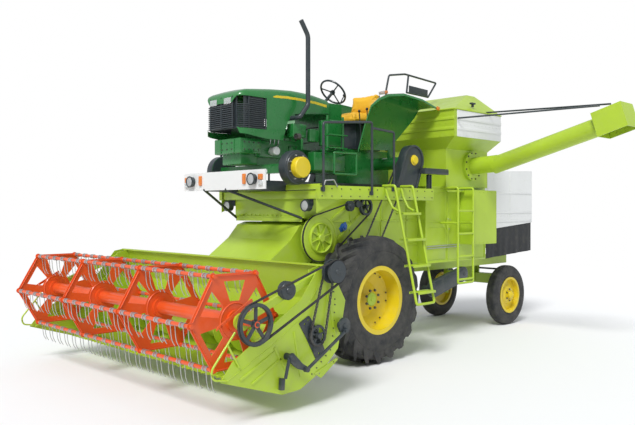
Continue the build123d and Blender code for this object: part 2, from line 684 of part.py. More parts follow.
# Reel arms, which lift about the back wall's top corners
ARM_X = (1758.0, 1802.0)
with BuildPart() as reel_arms:
    for side in (1, -1):
        x = side * sum(ARM_X) / 2
        arm = sorted((side * ARM_X[0], side * ARM_X[1]))
        bar((x, REEL_PIVOT_Y, REEL_PIVOT_Z), (x, REEL_Y + 40, REEL_Z + 20), 40, 60)
        disc(arm, REEL_PIVOT_Y, REEL_PIVOT_Z, 40)
        disc(arm, REEL_Y, REEL_Z, 70)
    for y, z, radius in (
        (REEL_PIVOT_Y, REEL_PIVOT_Z, REEL_PIN_RADIUS), (REEL_Y, REEL_Z, REEL_SHAFT_RADIUS),
    ):
        disc((-ARM_X[1] - 10, ARM_X[1] + 10), y, z, radius + FIT, mode=Mode.SUBTRACT)
save(reel_arms, "reel_arms")

# Reel: four six-sided spiders on a tube
SPIDERS = (-REEL_HALF, -REEL_HALF / 3, REEL_HALF / 3, REEL_HALF)
with BuildPart() as reel:
    rod((-REEL_HALF, REEL_Y, REEL_Z), (REEL_HALF, REEL_Y, REEL_Z), REEL_TUBE_RADIUS)
    rod((-ARM_X[1] - 15, REEL_Y, REEL_Z), (1980, REEL_Y, REEL_Z), REEL_SHAFT_RADIUS)
    for x in SPIDERS:
        with BuildSketch(Plane.YZ.offset(x - 4)) as web:
            with Locations((REEL_Y, REEL_Z)):
                RegularPolygon(REEL_RADIUS + 20, 6)
                with PolarLocations(REEL_RADIUS, 6):
                    Circle(BAT_RADIUS + 12)
                for turn in range(0, 360, 60):
                    with Locations(Location((0, 0), turn + 30)):
                        with Locations((245, 0)):
                            Trapezoid(220, 165, 70, rotation=90, mode=Mode.SUBTRACT)
        extrude(to_extrude=web.sketch, amount=8)
        disc((x - 30, x + 30), REEL_Y, REEL_Z, 90)
    for turn in range(0, 360, 60):
        y = REEL_Y + REEL_RADIUS * cos(radians(turn))
        z = REEL_Z + REEL_RADIUS * sin(radians(turn))
        disc((-REEL_HALF - 40, REEL_HALF + 40), y, z, BAT_RADIUS + FIT, mode=Mode.SUBTRACT)
save(reel, "reel")

with BuildPart() as reel_pulley:
    disc((1940, 1975), REEL_Y, REEL_Z, 170)
    disc((1900, 1990), REEL_Y, REEL_Z, REEL_SHAFT_RADIUS + FIT, mode=Mode.SUBTRACT)
save(reel_pulley, "reel_pulley")

# Bats with spring tines, one at each corner; each turns back against the reel
BAY = 2 * REEL_HALF / 3
for number in range(6):
    y = REEL_Y + REEL_RADIUS * cos(radians(60 * number))
    z = REEL_Z + REEL_RADIUS * sin(radians(60 * number))
    with BuildPart() as bat:
        rod((-REEL_HALF - 30, y, z), (REEL_HALF + 30, y, z), BAT_RADIUS)
        for bay in range(3):
            for count in range(TINES_PER_BAY):
                middle = -REEL_HALF + BAY * (bay + (count + 0.5) / TINES_PER_BAY)
                for x in (middle - 42, middle + 42):
                    side_plate([
                        (y + 8, z - 8), (y + 16, z - 8), (y + 22, z - 0.7 * TINE_LENGTH),
                        (y + TINE_RAKE, z - TINE_LENGTH), (y + 14, z - 0.7 * TINE_LENGTH),
                    ], (x - 4, x + 4))
    save(bat, f"reel_bat_{number + 1}")

# Header drive: plate, sprocket and knife crank
with BuildPart() as header_drive:
    outer = HEADER_HALF + SHEET + FIT
    side_plate([(-1960, 800), (-1880, 800), (-1700, 680), (-1650, 420), (-1800, 560)],
               (outer, outer + 8))
    disc((outer, outer + 60), -1780, 671, 90)
    disc((outer, outer + 120), -1551, 1190, 30)
    disc((outer + 40, outer + 100), -1551, 1190, 105)
    rod((outer + 30, -1162, 659), (outer + 30, -2059, 472), 14)
    disc((outer, outer + 60), -2059, 472, 40)
save(header_drive, "header_drive")

# Lift cylinders under the feeder
LIFT_X = 360.0
lift = Vector(0, LIFT_ROD_Y - LIFT_BASE_Y, LIFT_ROD_Z - LIFT_BASE_Z)
LIFT_BARREL_PART = 0.62
with BuildPart() as lift_barrels:
    for side in (1, -1):
        base = Vector(side * LIFT_X, LIFT_BASE_Y, LIFT_BASE_Z)
        rod(base + lift.normalized() * 40, base + lift * LIFT_BARREL_PART, LIFT_BORE)
        disc(sorted((side * (LIFT_X - 20), side * (LIFT_X + 20))), LIFT_BASE_Y, LIFT_BASE_Z, 45)
        rod(base + lift * 0.2, base + lift, 22 + FIT, mode=Mode.SUBTRACT)
    disc((-LIFT_X - 30, LIFT_X + 30), LIFT_BASE_Y, LIFT_BASE_Z, 20 + FIT, mode=Mode.SUBTRACT)
save(lift_barrels, "lift_barrels")

with BuildPart() as lift_rods:
    for side in (1, -1):
        base = Vector(side * LIFT_X, LIFT_BASE_Y, LIFT_BASE_Z)
        rod(base + lift * 0.3, base + lift * 0.97, 22)
        disc(sorted((side * (LIFT_X - 20), side * (LIFT_X + 20))), LIFT_ROD_Y, LIFT_ROD_Z, 36)
    disc((-LIFT_X - 30, LIFT_X + 30), LIFT_ROD_Y, LIFT_ROD_Z, 18 + RUN, mode=Mode.SUBTRACT)
save(lift_rods, "lift_rods")

# Unloading auger: it swings back about a vertical hinge
with BuildPart() as unloader:
    disc((800 + FIT, 825), UNLOADER_Y, UNLOADER_Z, 200)
    rod((825, UNLOADER_Y, UNLOADER_Z), (1200, UNLOADER_Y, UNLOADER_Z + 20), UNLOADER_RADIUS)
    rod((1150, UNLOADER_Y, UNLOADER_Z - 5), (2700, UNLOADER_Y, SPOUT_Z - 25), UNLOADER_RADIUS)
    with Locations(Location((SPOUT_X, UNLOADER_Y, SPOUT_Z), (0, -17, 0))):
        Box(370, 350, 300)
        with Locations((0, 0, -40)):
            Box(350, 330, 300, mode=Mode.SUBTRACT)
save(unloader, "unloader")

with BuildPart() as unloader_stays:
    rod((1020, 1650, 2920), (2620, UNLOADER_Y - 60, 2975), 11)
    rod((640, 2400, 3080), (2700, UNLOADER_Y + 60, 3000), 11)
save(unloader_stays, "unloader_stays")
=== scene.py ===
"""A tractor mounted combine harvester, dressed piece by piece over its CAD frame."""

import math

import bmesh
import bpy
from mathutils import Matrix, Vector


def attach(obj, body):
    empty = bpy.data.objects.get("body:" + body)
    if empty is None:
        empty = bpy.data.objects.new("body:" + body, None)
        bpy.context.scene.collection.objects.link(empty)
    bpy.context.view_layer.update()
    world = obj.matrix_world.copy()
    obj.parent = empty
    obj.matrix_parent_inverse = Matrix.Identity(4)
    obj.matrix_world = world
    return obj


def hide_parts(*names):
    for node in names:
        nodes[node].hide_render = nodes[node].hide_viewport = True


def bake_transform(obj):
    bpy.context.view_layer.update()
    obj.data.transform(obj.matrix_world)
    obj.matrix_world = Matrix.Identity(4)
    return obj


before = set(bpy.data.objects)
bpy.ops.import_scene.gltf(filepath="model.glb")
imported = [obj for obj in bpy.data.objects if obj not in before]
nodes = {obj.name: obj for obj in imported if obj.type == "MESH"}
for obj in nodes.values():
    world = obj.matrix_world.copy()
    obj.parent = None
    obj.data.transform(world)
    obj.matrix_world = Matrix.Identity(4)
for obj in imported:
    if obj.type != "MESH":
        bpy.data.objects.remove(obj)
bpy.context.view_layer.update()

# Studio. A pale floor under the machine that fades to white, one broad soft sun from
# above the camera's left shoulder, and an even white sky.
PHOTO_WIDTH, FOCAL_PIXELS = 635, 700.375
FLOOR_REACH, FLOOR_LEVEL = 60, -0.002
scene = bpy.context.scene
scene.view_settings.view_transform = "Standard"
slots = {}


def add_object(name, data):
    """Put a mesh, a curve, a light or a camera in the scene."""
    made = bpy.data.objects.new(name, data)
    scene.collection.objects.link(made)
    return made


def feed(finish, node, feeds):
    """Give a node's sockets a value each, or link another socket to them."""
    for socket, value in feeds.items():
        if isinstance(value, bpy.types.NodeSocket):
            finish.node_tree.links.new(value, node.inputs[socket])
        else:
            node.inputs[socket].default_value = value


def add_node(finish, kind, feeds=None, **settings):
    """Add one node to a finish or the sky, with its settings and feeds."""
    node = finish.node_tree.nodes.new("ShaderNode" + kind)
    for key, value in settings.items():
        setattr(node, key, value)
    feed(finish, node, feeds or {})
    return node


def new_finish(name, slot, feeds):
    """Start a finish on a plain shader, and note the slot of the pieces that wear it."""
    finish = bpy.data.materials.new(name)
    finish.use_nodes = True
    shader = finish.node_tree.nodes["Principled BSDF"]
    feed(finish, shader, feeds)
    slots[name] = slot
    return finish, shader


camera_data = bpy.data.cameras.new("photo_camera")
camera_data.sensor_fit = "HORIZONTAL"
camera_data.lens = camera_data.sensor_width * FOCAL_PIXELS / PHOTO_WIDTH
camera_data.clip_end = 200
camera = add_object("photo_camera", camera_data)
camera.location = (5.675, -6.685, 1.743)
camera.rotation_euler = (math.radians(90) - 0.005, 0, math.radians(45.75))
scene.camera = camera

sun_data = bpy.data.lights.new("soft_sun", "SUN")
sun_data.energy = 2.6
sun_data.angle = math.radians(18)
sun = add_object("soft_sun", sun_data)
sun.rotation_euler = (math.radians(42), math.radians(8), math.radians(18))

sky = bpy.data.worlds.new("white_sky")
scene.world = sky
sky.use_nodes = True
room_light = sky.node_tree.nodes["Background"]
feed(sky, room_light, {"Color": (0.93, 0.96, 1.0, 1), "Strength": 0.62})
backdrop = add_node(sky, "Background", {"Color": (1, 1, 1, 1), "Strength": 1.0})
rays = add_node(sky, "LightPath").outputs
seen = add_node(sky, "Math", {0: rays["Is Camera Ray"], 1: rays["Is Transmission Ray"]},
                operation="MAXIMUM")
choose = add_node(sky, "MixShader", {
    0: seen.outputs[0], 1: room_light.outputs[0], 2: backdrop.outputs[0]})
feed(sky, sky.node_tree.nodes["World Output"], {"Surface": choose.outputs[0]})

floor_finish, floor_shader = new_finish("pale_floor", None, {
    "Base Color": (0.86, 0.86, 0.86, 1), "Roughness": 0.9, "Specular IOR Level": 0.1})
floor_place = add_node(floor_finish, "TexCoord").outputs["Object"]
floor_reach = add_node(floor_finish, "VectorMath", {0: floor_place}, operation="LENGTH")
floor_fade = add_node(floor_finish, "MapRange", {
    "Value": floor_reach.outputs["Value"], "From Min": 4.0, "From Max": 14.0})
floor_rays = add_node(floor_finish, "LightPath").outputs
floor_share = add_node(floor_finish, "Math", {
    0: floor_fade.outputs[0], 1: floor_rays["Is Camera Ray"]}, operation="MULTIPLY")
floor_glow = add_node(floor_finish, "Emission", {"Color": (1, 1, 1, 1), "Strength": 1.0})
floor_mix = add_node(floor_finish, "MixShader", {
    0: floor_share.outputs[0], 1: floor_shader.outputs[0], 2: floor_glow.outputs[0]})
feed(floor_finish, floor_finish.node_tree.nodes["Material Output"],
     {"Surface": floor_mix.outputs[0]})
floor_mesh = bpy.data.meshes.new("floor")
floor_mesh.from_pydata([(x * FLOOR_REACH, y * FLOOR_REACH, FLOOR_LEVEL)
                        for x, y in ((-1, -1), (1, -1), (1, 1), (-1, 1))], [], [(0, 1, 2, 3)])
floor_mesh.materials.append(floor_finish)
floor = add_object("floor", floor_mesh)


# Main frame, axles and threshing body. Folded and welded steel sprayed in a lime
# finish that goes dull and dusty low down; the sheets are riveted along their edges.
def noise(finish, spread, scale, **feeds):
    """Cloudy noise over a piece."""
    feeds = {"Vector": spread, "Scale": scale, **feeds}
    return add_node(finish, "TexNoise", feeds).outputs["Fac"]


def stretch(finish, value, low, high, to_low, to_high):
    """Stretch a value from one range to another."""
    return add_node(finish, "MapRange", {"Value": value, "From Min": low, "From Max": high,
                                         "To Min": to_low, "To Max": to_high}).outputs[0]


def two_tints(finish, value, stops):
    """Run between two tints, each at its own share of a value."""
    tint = add_node(finish, "ValToRGB", {"Fac": value})
    for element, (position, colour) in zip(tint.color_ramp.elements, stops):
        element.position = position
        element.color = (*colour, 1)
    return tint.outputs["Color"]


def bump(finish, height, strength, distance, **feeds):
    """Raise a skin by a value."""
    feeds = {"Height": height, "Strength": strength, "Distance": distance, **feeds}
    return add_node(finish, "Bump", feeds).outputs[0]


def sprayed(name, slot, colour, shine=0.38, coat=0.25, dust=0.22, patch=0.07, metal=0.0):
    """Sprayed paint: cloudy tint, fine orange peel, and dust that is thicker low down."""
    finish, shader = new_finish(name, slot, {
        "Coat Weight": coat, "Coat Roughness": 0.12, "Metallic": metal})
    spread = add_node(finish, "TexCoord").outputs["Object"]
    tint = two_tints(finish, noise(finish, spread, 2.2, Detail=5.0), [
        (0.3, [channel * (1 - patch) for channel in colour]),
        (0.7, [min(1, channel * (1 + patch)) for channel in colour])])
    height = add_node(finish, "SeparateXYZ", {"Vector": spread}).outputs["Z"]
    low = stretch(finish, height, 0.1, 1.6, 1.0, 0.35)
    grime = noise(finish, spread, 9.0, Detail=8.0, Roughness=0.65)
    settled = stretch(finish, grime, 0.48, 0.75, 0.0, dust)
    share = add_node(finish, "Math", {0: settled, 1: low}, operation="MULTIPLY")
    mixed = add_node(finish, "Mix", {
        "Factor": share.outputs[0], 6: tint, 7: (0.42, 0.38, 0.3, 1)}, data_type="RGBA")
    rough = stretch(finish, grime, 0.3, 0.8, shine - 0.05, shine + 0.2)
    wave = bump(finish, noise(finish, spread, 3.5, Detail=1.0), 0.12, 0.02)
    skin = bump(finish, noise(finish, spread, 160.0, Detail=2.0), 0.05, 0.001, Normal=wave)
    feed(finish, shader, {"Base Color": mixed.outputs[2], "Roughness": rough, "Normal": skin})
    return finish


def dress(finish, *names):
    """Give CAD nodes one finish."""
    for name in names:
        nodes[name].data.materials.clear()
        nodes[name].data.materials.append(finish)


lime = sprayed("lime_spray", "lime_paint", (0.40, 0.56, 0.028))
dress(lime, "cutter_bar", "main_frame", "rear_axle", "drive_axle", "thresher_body",
      "feeder_apron", "deck_frame", "feeder_hood", "header_pan", "grain_tank",
      "elevator_head", "tool_box", "tool_door", "ladders", "knuckle_left",
      "knuckle_right", "unloader", "reel_arms", "header_auger")

# Other paints. Slate black on rails, guards and crank work, yellow on the rims, green on the
# tractor, white on boards and hood, and orange on the reel and its bats.
slate = sprayed("slate_enamel", "dark_paint", (0.022, 0.032, 0.038), shine=0.42, dust=0.16)
dress(slate, "hand_rails", "belt_drives", "seat_frame", "reel_pulley", "header_drive",
      "tie_rod", "lift_barrels", "unloader_stays", "steering_wheel", "exhaust", "grille",
      "work_lamps")
rim_yellow = sprayed("rim_yellow_spray", "rim_yellow", (0.72, 0.55, 0.012), shine=0.4)
dress(rim_yellow, "drive_rim_left", "drive_rim_right", "rear_rim_left", "rear_rim_right")
green = sprayed("tractor_green_gloss", "tractor_green", (0.012, 0.17, 0.03), shine=0.26,
                coat=0.6, dust=0.1)
dress(green, "tractor_chassis", "engine", "tractor_front_axle", "cowl", "fenders", "bonnet")
white = sprayed("white_enamel", "white_paint", (0.76, 0.77, 0.76), shine=0.34, dust=0.12,
                patch=0.02)
dress(white, "front_board", "tank_panel", "rear_hood")
orange = sprayed("reel_orange_spray", "reel_orange", (0.74, 0.09, 0.012), shine=0.33, dust=0.08)
dress(orange, "reel", *[f"reel_bat_{number}" for number in range(1, 7)])

# Bare steel, rubber and vinyl. Oily chains, bright lift rods and galvanised wire; black tyre
# rubber gone grey with dust; the seat's vinyl, the belts and the curtain.
oily = sprayed("oily_steel", "dark_paint", (0.05, 0.047, 0.042), shine=0.36, coat=0.1, dust=0.2)
dress(oily, "drive_chains")
chrome = sprayed("rod_chrome", None, (0.6, 0.6, 0.6), shine=0.16, coat=0.0, dust=0.05, metal=1.0)
dress(chrome, "lift_rods")
bright = sprayed("galvanised_steel", "galvanised", (0.5, 0.51, 0.52), shine=0.3, coat=0.0,
                 dust=0.1, patch=0.16, metal=0.75)
vinyl = sprayed("seat_vinyl", "seat_yellow", (0.78, 0.43, 0.012), shine=0.5, coat=0.0, dust=0.05)
dress(vinyl, "seat")
curtain_rubber = sprayed("curtain_rubber", "black_rubber", (0.018, 0.02, 0.022), shine=0.6,
                         coat=0.0)
dress(curtain_rubber, "hood_curtain")
belt_rubber = sprayed("belt_rubber", "black_rubber", (0.02, 0.02, 0.021), shine=0.55, coat=0.0,
                      dust=0.2)
rubber, rubber_shader = new_finish("tyre_rubber", "tyre", {"Roughness": 0.68})
rubber_place = add_node(rubber, "TexCoord").outputs["Object"]
rubber_dust = noise(rubber, rubber_place, 7.0, Detail=9.0, Roughness=0.7)
feed(rubber, rubber_shader, {
    "Base Color": two_tints(rubber, rubber_dust, [(0.35, (0.018, 0.02, 0.022)),
                                                  (0.78, (0.085, 0.08, 0.072))]),
    "Normal": bump(rubber, noise(rubber, rubber_place, 240.0), 0.2, 0.001)})
dress(rubber, "drive_tyre_left", "drive_tyre_right", "rear_tyre_left", "rear_tyre_right")

# Bolts and rivets. Small pressed heads on the sheets and flanges, set out in rows by one
# node group; the rows follow the joints of the real sheets.
ORIGIN = Vector((0.580, 0.701, 0.0))
LEFT, FRONT = (1, 0, 0), (0, -1, 0)


def place(x, y, z):
    """Turn the machine's millimetres into the frame's metres."""
    return Vector((x, y, z)) / 1000 - ORIGIN


def fit_piece(name, mesh, finish, body="chassis", crease=35, slot=None):
    """Give a mesh its finish and its body, with faces smooth up to a crease."""
    mesh.materials.clear()
    mesh.materials.append(finish)
    mesh.shade_smooth()
    mesh.set_sharp_from_angle(angle=math.radians(crease))
    made = add_object(name, mesh)
    if body:
        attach(made, body)
    slot = slot or slots[finish.name]
    return made


def real_mesh(carrier):
    """Take the mesh that a carrier shows, and remove the carrier."""
    bpy.context.view_layer.update()
    mesh = bpy.data.meshes.new_from_object(
        carrier.evaluated_get(bpy.context.evaluated_depsgraph_get()))
    bpy.data.objects.remove(carrier)
    return mesh


heads = bpy.data.node_groups.new("bolt_heads", "GeometryNodeTree")
for label, kind in (("Geometry", "Geometry"), ("Radius", "Float"), ("Height", "Float"),
                    ("Sides", "Int"), ("Finish", "Material")):
    heads.interface.new_socket(label, in_out="INPUT", socket_type="NodeSocket" + kind)
heads.interface.new_socket("Geometry", in_out="OUTPUT", socket_type="NodeSocketGeometry")
(heads_in, heads_out, head_form, head_top, head_facing, head_turn, head_spread, head_real,
 head_finish) = [heads.nodes.new(kind) for kind in (
     "NodeGroupInput", "NodeGroupOutput", "GeometryNodeMeshCone", "ShaderNodeMath",
     "GeometryNodeInputNamedAttribute", "FunctionNodeAlignRotationToVector",
     "GeometryNodeInstanceOnPoints", "GeometryNodeRealizeInstances",
     "GeometryNodeSetMaterial")]
head_top.operation = "MULTIPLY"
head_top.inputs[1].default_value = 0.82
head_facing.data_type = "FLOAT_VECTOR"
head_facing.inputs["Name"].default_value = "facing"
head_turn.axis = "Z"
for start, end in (
    (heads_in.outputs["Sides"], head_form.inputs["Vertices"]),
    (heads_in.outputs["Radius"], head_form.inputs["Radius Bottom"]),
    (heads_in.outputs["Radius"], head_top.inputs[0]),
    (head_top.outputs[0], head_form.inputs["Radius Top"]),
    (heads_in.outputs["Height"], head_form.inputs["Depth"]),
    (heads_in.outputs["Geometry"], head_spread.inputs["Points"]),
    (head_form.outputs["Mesh"], head_spread.inputs["Instance"]),
    (head_facing.outputs["Attribute"], head_turn.inputs["Vector"]),
    (head_turn.outputs["Rotation"], head_spread.inputs["Rotation"]),
    (head_spread.outputs["Instances"], head_real.inputs["Geometry"]),
    (head_real.outputs["Geometry"], head_finish.inputs["Geometry"]),
    (heads_in.outputs["Finish"], head_finish.inputs["Material"]),
    (head_finish.outputs["Geometry"], heads_out.inputs["Geometry"]),
):
    heads.links.new(start, end)


def bolt_rows(name, rows, finish, body="chassis", radius=7, height=5, sides=6):
    """Set heads along rows of (start, end, count, facing), in the machine's millimetres."""
    spots, facings = [], []
    for start, end, count, facing in rows:
        for step in range(count):
            spots.append(place(*start).lerp(place(*end), step / max(1, count - 1)))
            facings.append(Vector(facing).normalized())
    mesh = bpy.data.meshes.new(name + "_spots")
    mesh.from_pydata(spots, [], [])
    layer = mesh.attributes.new("facing", "FLOAT_VECTOR", "POINT")
    for index, facing in enumerate(facings):
        layer.data[index].vector = facing
    carrier = add_object(name + "_spots", mesh)
    spread = carrier.modifiers.new("heads", "NODES")
    spread.node_group = heads
    sockets = {item.name: item.identifier for item in heads.interface.items_tree
               if item.in_out == "INPUT"}
    for label, value in (("Radius", radius / 1000), ("Height", height / 1000),
                         ("Sides", sides), ("Finish", finish)):
        spread[sockets[label]] = value
    return fit_piece(name, real_mesh(carrier), finish, body)


def around(u, v, radius, turns):
    """Find the points round (u, v) at turns in degrees."""
    return [(u + radius * math.cos(math.radians(turn)), v + radius * math.sin(math.radians(turn)))
            for turn in turns]


def bolt_circle(x, y, z, radius, turns, side):
    """Set one head at each turn round an X axis, facing to a side."""
    spots = [(x, *spot) for spot in around(y, z, radius, turns)]
    return [(spot, spot, 1, (side, 0, 0)) for spot in spots]


bolt_rows("front_panel_rivets", [
    ((-600, -703, z), (600, -703, z), 17, FRONT) for z in (1672, 1880)], lime, "chassis", 8, 6, 10)
bolt_rows("tank_rivets", [
    ((1007.5, 1700, z), (1007.5, 2690, z), 12, LEFT) for z in (2712, 2865, 3022)],
    white, "chassis", 6, 5, 10)
bolt_rows("tank_front_rivets", [
    ((-960, 1608.5, z), (960, 1608.5, z), 21, FRONT) for z in (2712, 2865, 3030)],
    lime, "chassis", 6, 5, 10)
bolt_rows("body_side_bolts", [
    ((side * 721, *start), (side * 721, *end), count, (side, 0, 0)) for start, end, count in (
        ((1368, 1060), (1368, 2020), 9), ((1368, 2024), (2750, 2024), 12))
    for side in (1, -1)], lime)
bolt_rows("deck_beam_bolts", [
    ((side * 899.5, -700, z), (side * 899.5, 1260, z), 14, (side, 0, 0))
    for z in (1885, 1965) for side in (1, -1)], oily, "chassis", 8, 6)
bolt_rows("header_sheet_bolts", [
    ((1837, *start), (1837, *end), count, LEFT) for start, end, count in (
        ((-1530, 1200), (-1462, 930), 5), ((-1462, 880), (-1490, 600), 5),
        ((-1520, 480), (-1750, 300), 5))], oily, "header", 7, 6)
bolt_rows("hood_rivets", [
    ((side * 601, 2890, z), (side * 601, 4300, z), 15, (side, 0, 0))
    for z in (1640, 2200) for side in (1, -1)], white, "chassis", 6, 4, 10)
bolt_rows("tool_box_bolts", [
    ((953, 2160, z), (953, 2680, z), 6, LEFT) for z in (1285, 1975)], lime, "tool_door", 7, 5, 10)
bolt_rows("unloader_flange_bolts", bolt_circle(826, 2315, 2335, 182, range(15, 360, 30), 1),
          oily, "unloader", 11, 12)

# Wheel hubs. A lime hub cap with a greaser, and eight dark nuts on their studs, stand on
# each yellow disc; the rear wheels have a smaller cap.
SIDES = (("left", 1), ("right", -1))
DRIVE, DRIVE_X, DISC_FACE = (0, 720), 935, 985
REAR, REAR_X = (3500, 442.5), 620


def outline(points, base=0, side=1):
    """Measure an outline's (along, radius) points from a base, to one side."""
    return [(side * (base + along), radius) for along, radius in points]


def finish_form(name, form, finish, body="chassis", crease=35, slot=None, thick=0):
    """Make a piece of a form, with its faces looking outwards and its sheets thickened."""
    bmesh.ops.recalc_face_normals(form, faces=form.faces)
    if thick:
        bmesh.ops.solidify(form, geom=form.faces[:], thickness=thick)
    mesh = bpy.data.meshes.new(name)
    form.to_mesh(mesh)
    form.free()
    return fit_piece(name, mesh, finish, body, crease, slot)


def turned(name, forms, finish, body="chassis", steps=48, crease=35, axis="x"):
    """Turn (along, radius) outlines about X or Y axes, each at its place across and up."""
    form = bmesh.new()
    for across, up, points in forms:
        rings = []
        for along, radius in points:
            spots = around(across, up, radius, [360 * step / steps
                                                for step in range(steps if radius else 1)])
            rings.append([form.verts.new(place(along, *spot) if axis == "x" else
                                         place(spot[0], along, spot[1])) for spot in spots])
        for low, high in zip(rings, rings[1:]):
            for step in range(steps):
                after = step + 1
                corners = list(dict.fromkeys([low[step % len(low)], high[step % len(high)],
                                              high[after % len(high)], low[after % len(low)]]))
                if len(corners) > 2:
                    form.faces.new(corners)
    bmesh.ops.remove_doubles(form, verts=form.verts, dist=0.00001)
    return finish_form(name, form, finish, body, crease)


for label, side in SIDES:
    body = f"drive_wheel_{label}"
    turned(f"drive_hub_{label}", [(*DRIVE, outline([
        (1, 0), (1, 78), (6, 80), (16, 76), (22, 62), (24, 30), (32, 26), (34, 0)],
        DISC_FACE, side))], lime, body)
    bolt_rows(f"drive_nuts_{label}", bolt_circle(side * (DISC_FACE + 14), *DRIVE, 107, [
        45 * (step + 0.5) for step in range(8)], side), oily, body, 17, 18)
    bolt_rows(f"rim_bracket_bolts_{label}", bolt_circle(side * (DRIVE_X + 21), *DRIVE, 300, [
        60 * step + lean for step in range(6) for lean in (-9, 9)], -side), oily, body, 11, 10)
    turned(f"rear_hub_{label}", [(*REAR, outline([
        (719, 0), (719, 55), (726, 52), (734, 40), (738, 22), (745, 20), (747, 0)], 0, side))],
        rim_yellow, f"rear_wheel_{label}")
    bolt_rows(f"rear_nuts_{label}", bolt_circle(side * 686, *REAR, 86, range(30, 360, 60), side),
              oily, f"rear_wheel_{label}", 12, 14)

# Tyre mouldings. Rings and a bead line stand on the side walls, and the rear tyres have
# straight circumferential ribs like a common front tractor tyre.
for label, side in SIDES:
    rings = [(*DRIVE, outline([
        (wall * (x - 3), radius - 5), (wall * (x + 3), radius - 2),
        (wall * (x + 3), radius + 2), (wall * (x - 3), radius + 5)], DRIVE_X, side))
        for wall in (1, -1) for radius, x in ((400, 181), (430, 199), (505, 213), (560, 215))]
    turned(f"drive_tyre_rings_{label}", rings, rubber, f"drive_wheel_{label}", 72)
    ribs = [(*REAR, outline([
        (middle - half, 425), (middle - half + 2, top), (middle + half - 2, top),
        (middle + half, 425)], REAR_X, side)) for middle, half, top in (
            (0, 9, 446), (-28, 7, 446), (28, 7, 446), (-52, 6, 440), (52, 6, 440))]
    ribs += [(*REAR, outline([
        (wall * (x - 4), radius - 5), (wall * (x + 2), radius), (wall * (x - 4), radius + 5)],
        REAR_X, side)) for wall in (1, -1) for radius, x in ((292, 80), (345, 92))]
    turned(f"rear_tyre_ribs_{label}", ribs, rubber, f"rear_wheel_{label}", 72)

# Lamps. Round work lamps under the deck and on the front board, each a clear ribbed lens in
# a dark bezel; amber blocks on the fenders and red ones at the rear.
glass, glass_shader = new_finish("lamp_glass", "galvanised", {
    "Base Color": (0.92, 0.95, 0.96, 1), "Roughness": 0.08, "Transmission Weight": 0.55,
    "Specular IOR Level": 0.7})
glass_place = add_node(glass, "TexCoord").outputs["Object"]
glass_rib = add_node(glass, "TexWave", {"Vector": glass_place, "Scale": 42.0}).outputs["Fac"]
feed(glass, glass_shader, {"Normal": bump(glass, glass_rib, 0.35, 0.004)})
amber = sprayed("amber_lens", "reel_orange", (0.72, 0.19, 0.008), shine=0.12, coat=0.9,
                dust=0.03, patch=0.1)
red_lens = sprayed("red_lens", "reel_orange", (0.5, 0.012, 0.01), shine=0.12, coat=0.9,
                   dust=0.03, patch=0.1)


def bevelled(name, boxes, finish, body="chassis", edge=4, segments=2, slot=None):
    """Join bevelled boxes, each a centre, a size and perhaps turns in degrees, in one piece."""
    form = bmesh.new()
    for centre, size, *turns in boxes:
        lean = [math.radians(turn) for turn in (turns[0] if turns else (0, 0, 0))]
        spot = (Matrix.Translation(place(*centre)) @ Matrix.Rotation(lean[2], 4, "Z")
                @ Matrix.Rotation(lean[1], 4, "Y") @ Matrix.Rotation(lean[0], 4, "X")
                @ Matrix.Diagonal((*[length / 1000 for length in size], 1)))
        made = bmesh.ops.create_cube(form, size=1, matrix=spot)
        edges = list({line for corner in made["verts"] for line in corner.link_edges})
        bmesh.ops.bevel(form, geom=edges, offset=min(edge, min(size) / 2.5) / 1000,
                        segments=segments, profile=0.5, affect="EDGES")
    return finish_form(name, form, finish, body, slot=slot)


def both_sides(boxes):
    """Set boxes on the left, and their mirror images on the right."""
    return [((side * x, y, z), size, *[(turn[0], side * turn[1], side * turn[2]) for turn in turns])
            for side in (1, -1) for (x, y, z), size, *turns in boxes]


lamps = [(700, 1780, -765.5), (-700, 1780, -765.5), (560, 2055, -1404.8), (-560, 2055, -1404.8)]
turned("lamp_bezels", [(x, z, outline([
    (14, 60), (-2, 66), (-9, 64), (-9, 55), (-2, 53)], y)) for x, z, y in lamps],
    slate, steps=40, axis="y")
turned("lamp_lenses", [(x, z, outline([
    (-3, 55), (-8, 42), (-12, 22), (-13, 0)], y)) for x, z, y in lamps], glass, steps=40, axis="y")
bevelled("fender_lamps", both_sides([
    ((660, 600, 3172), (95, 60, 40), (16, 0, 0)), ((770, 1570, 3062), (20, 60, 50), (-10, 0, 0))]),
    amber, edge=8)
bevelled("fender_lamp_fronts", both_sides([((660, 566, 3163), (92, 12, 38), (16, 0, 0))]),
         glass, edge=5)
bevelled("tail_lamps", both_sides([((520, 4332, 1630), (90, 12, 60))]), red_lens, edge=5)

# Belts and chains. V-belts run in real grooves from the feeder sheave to the body and from
# the header's countershaft along the reel arm; a roller chain drives the header's side.
SHEAVE, BODY_PULLEY = (-505, 1419), (258, 1772)
COUNTERSHAFT, CHAIN_WHEEL, SHEET_FACE = (-1560, 1190), (-1701, 634), 1836.5
REEL, REEL_RADIUS, REEL_BELT_X = (-2479, 831), 432, 1957.5


def loop_points(wheels):
    """Outside tangent loop round (y, z, radius) wheels taken in turn, as (y, z) points."""
    points = []
    for index, (y, z, radius) in enumerate(wheels):
        angles = []
        for near, far in ((wheels[index - 1], wheels[index]),
                          (wheels[index], wheels[(index + 1) % len(wheels)])):
            run = Vector((far[0] - near[0], far[1] - near[1]))
            lean = math.asin(max(-1, min(1, (near[2] - far[2]) / run.length)))
            angles.append(math.atan2(run.y, run.x) - math.pi / 2 + lean)
        sweep = (angles[1] - angles[0]) % (2 * math.pi)
        steps = max(2, int(sweep / 0.2))
        points += around(y, z, radius, [math.degrees(angles[0] + sweep * step / steps)
                                        for step in range(steps + 1)])
    return points


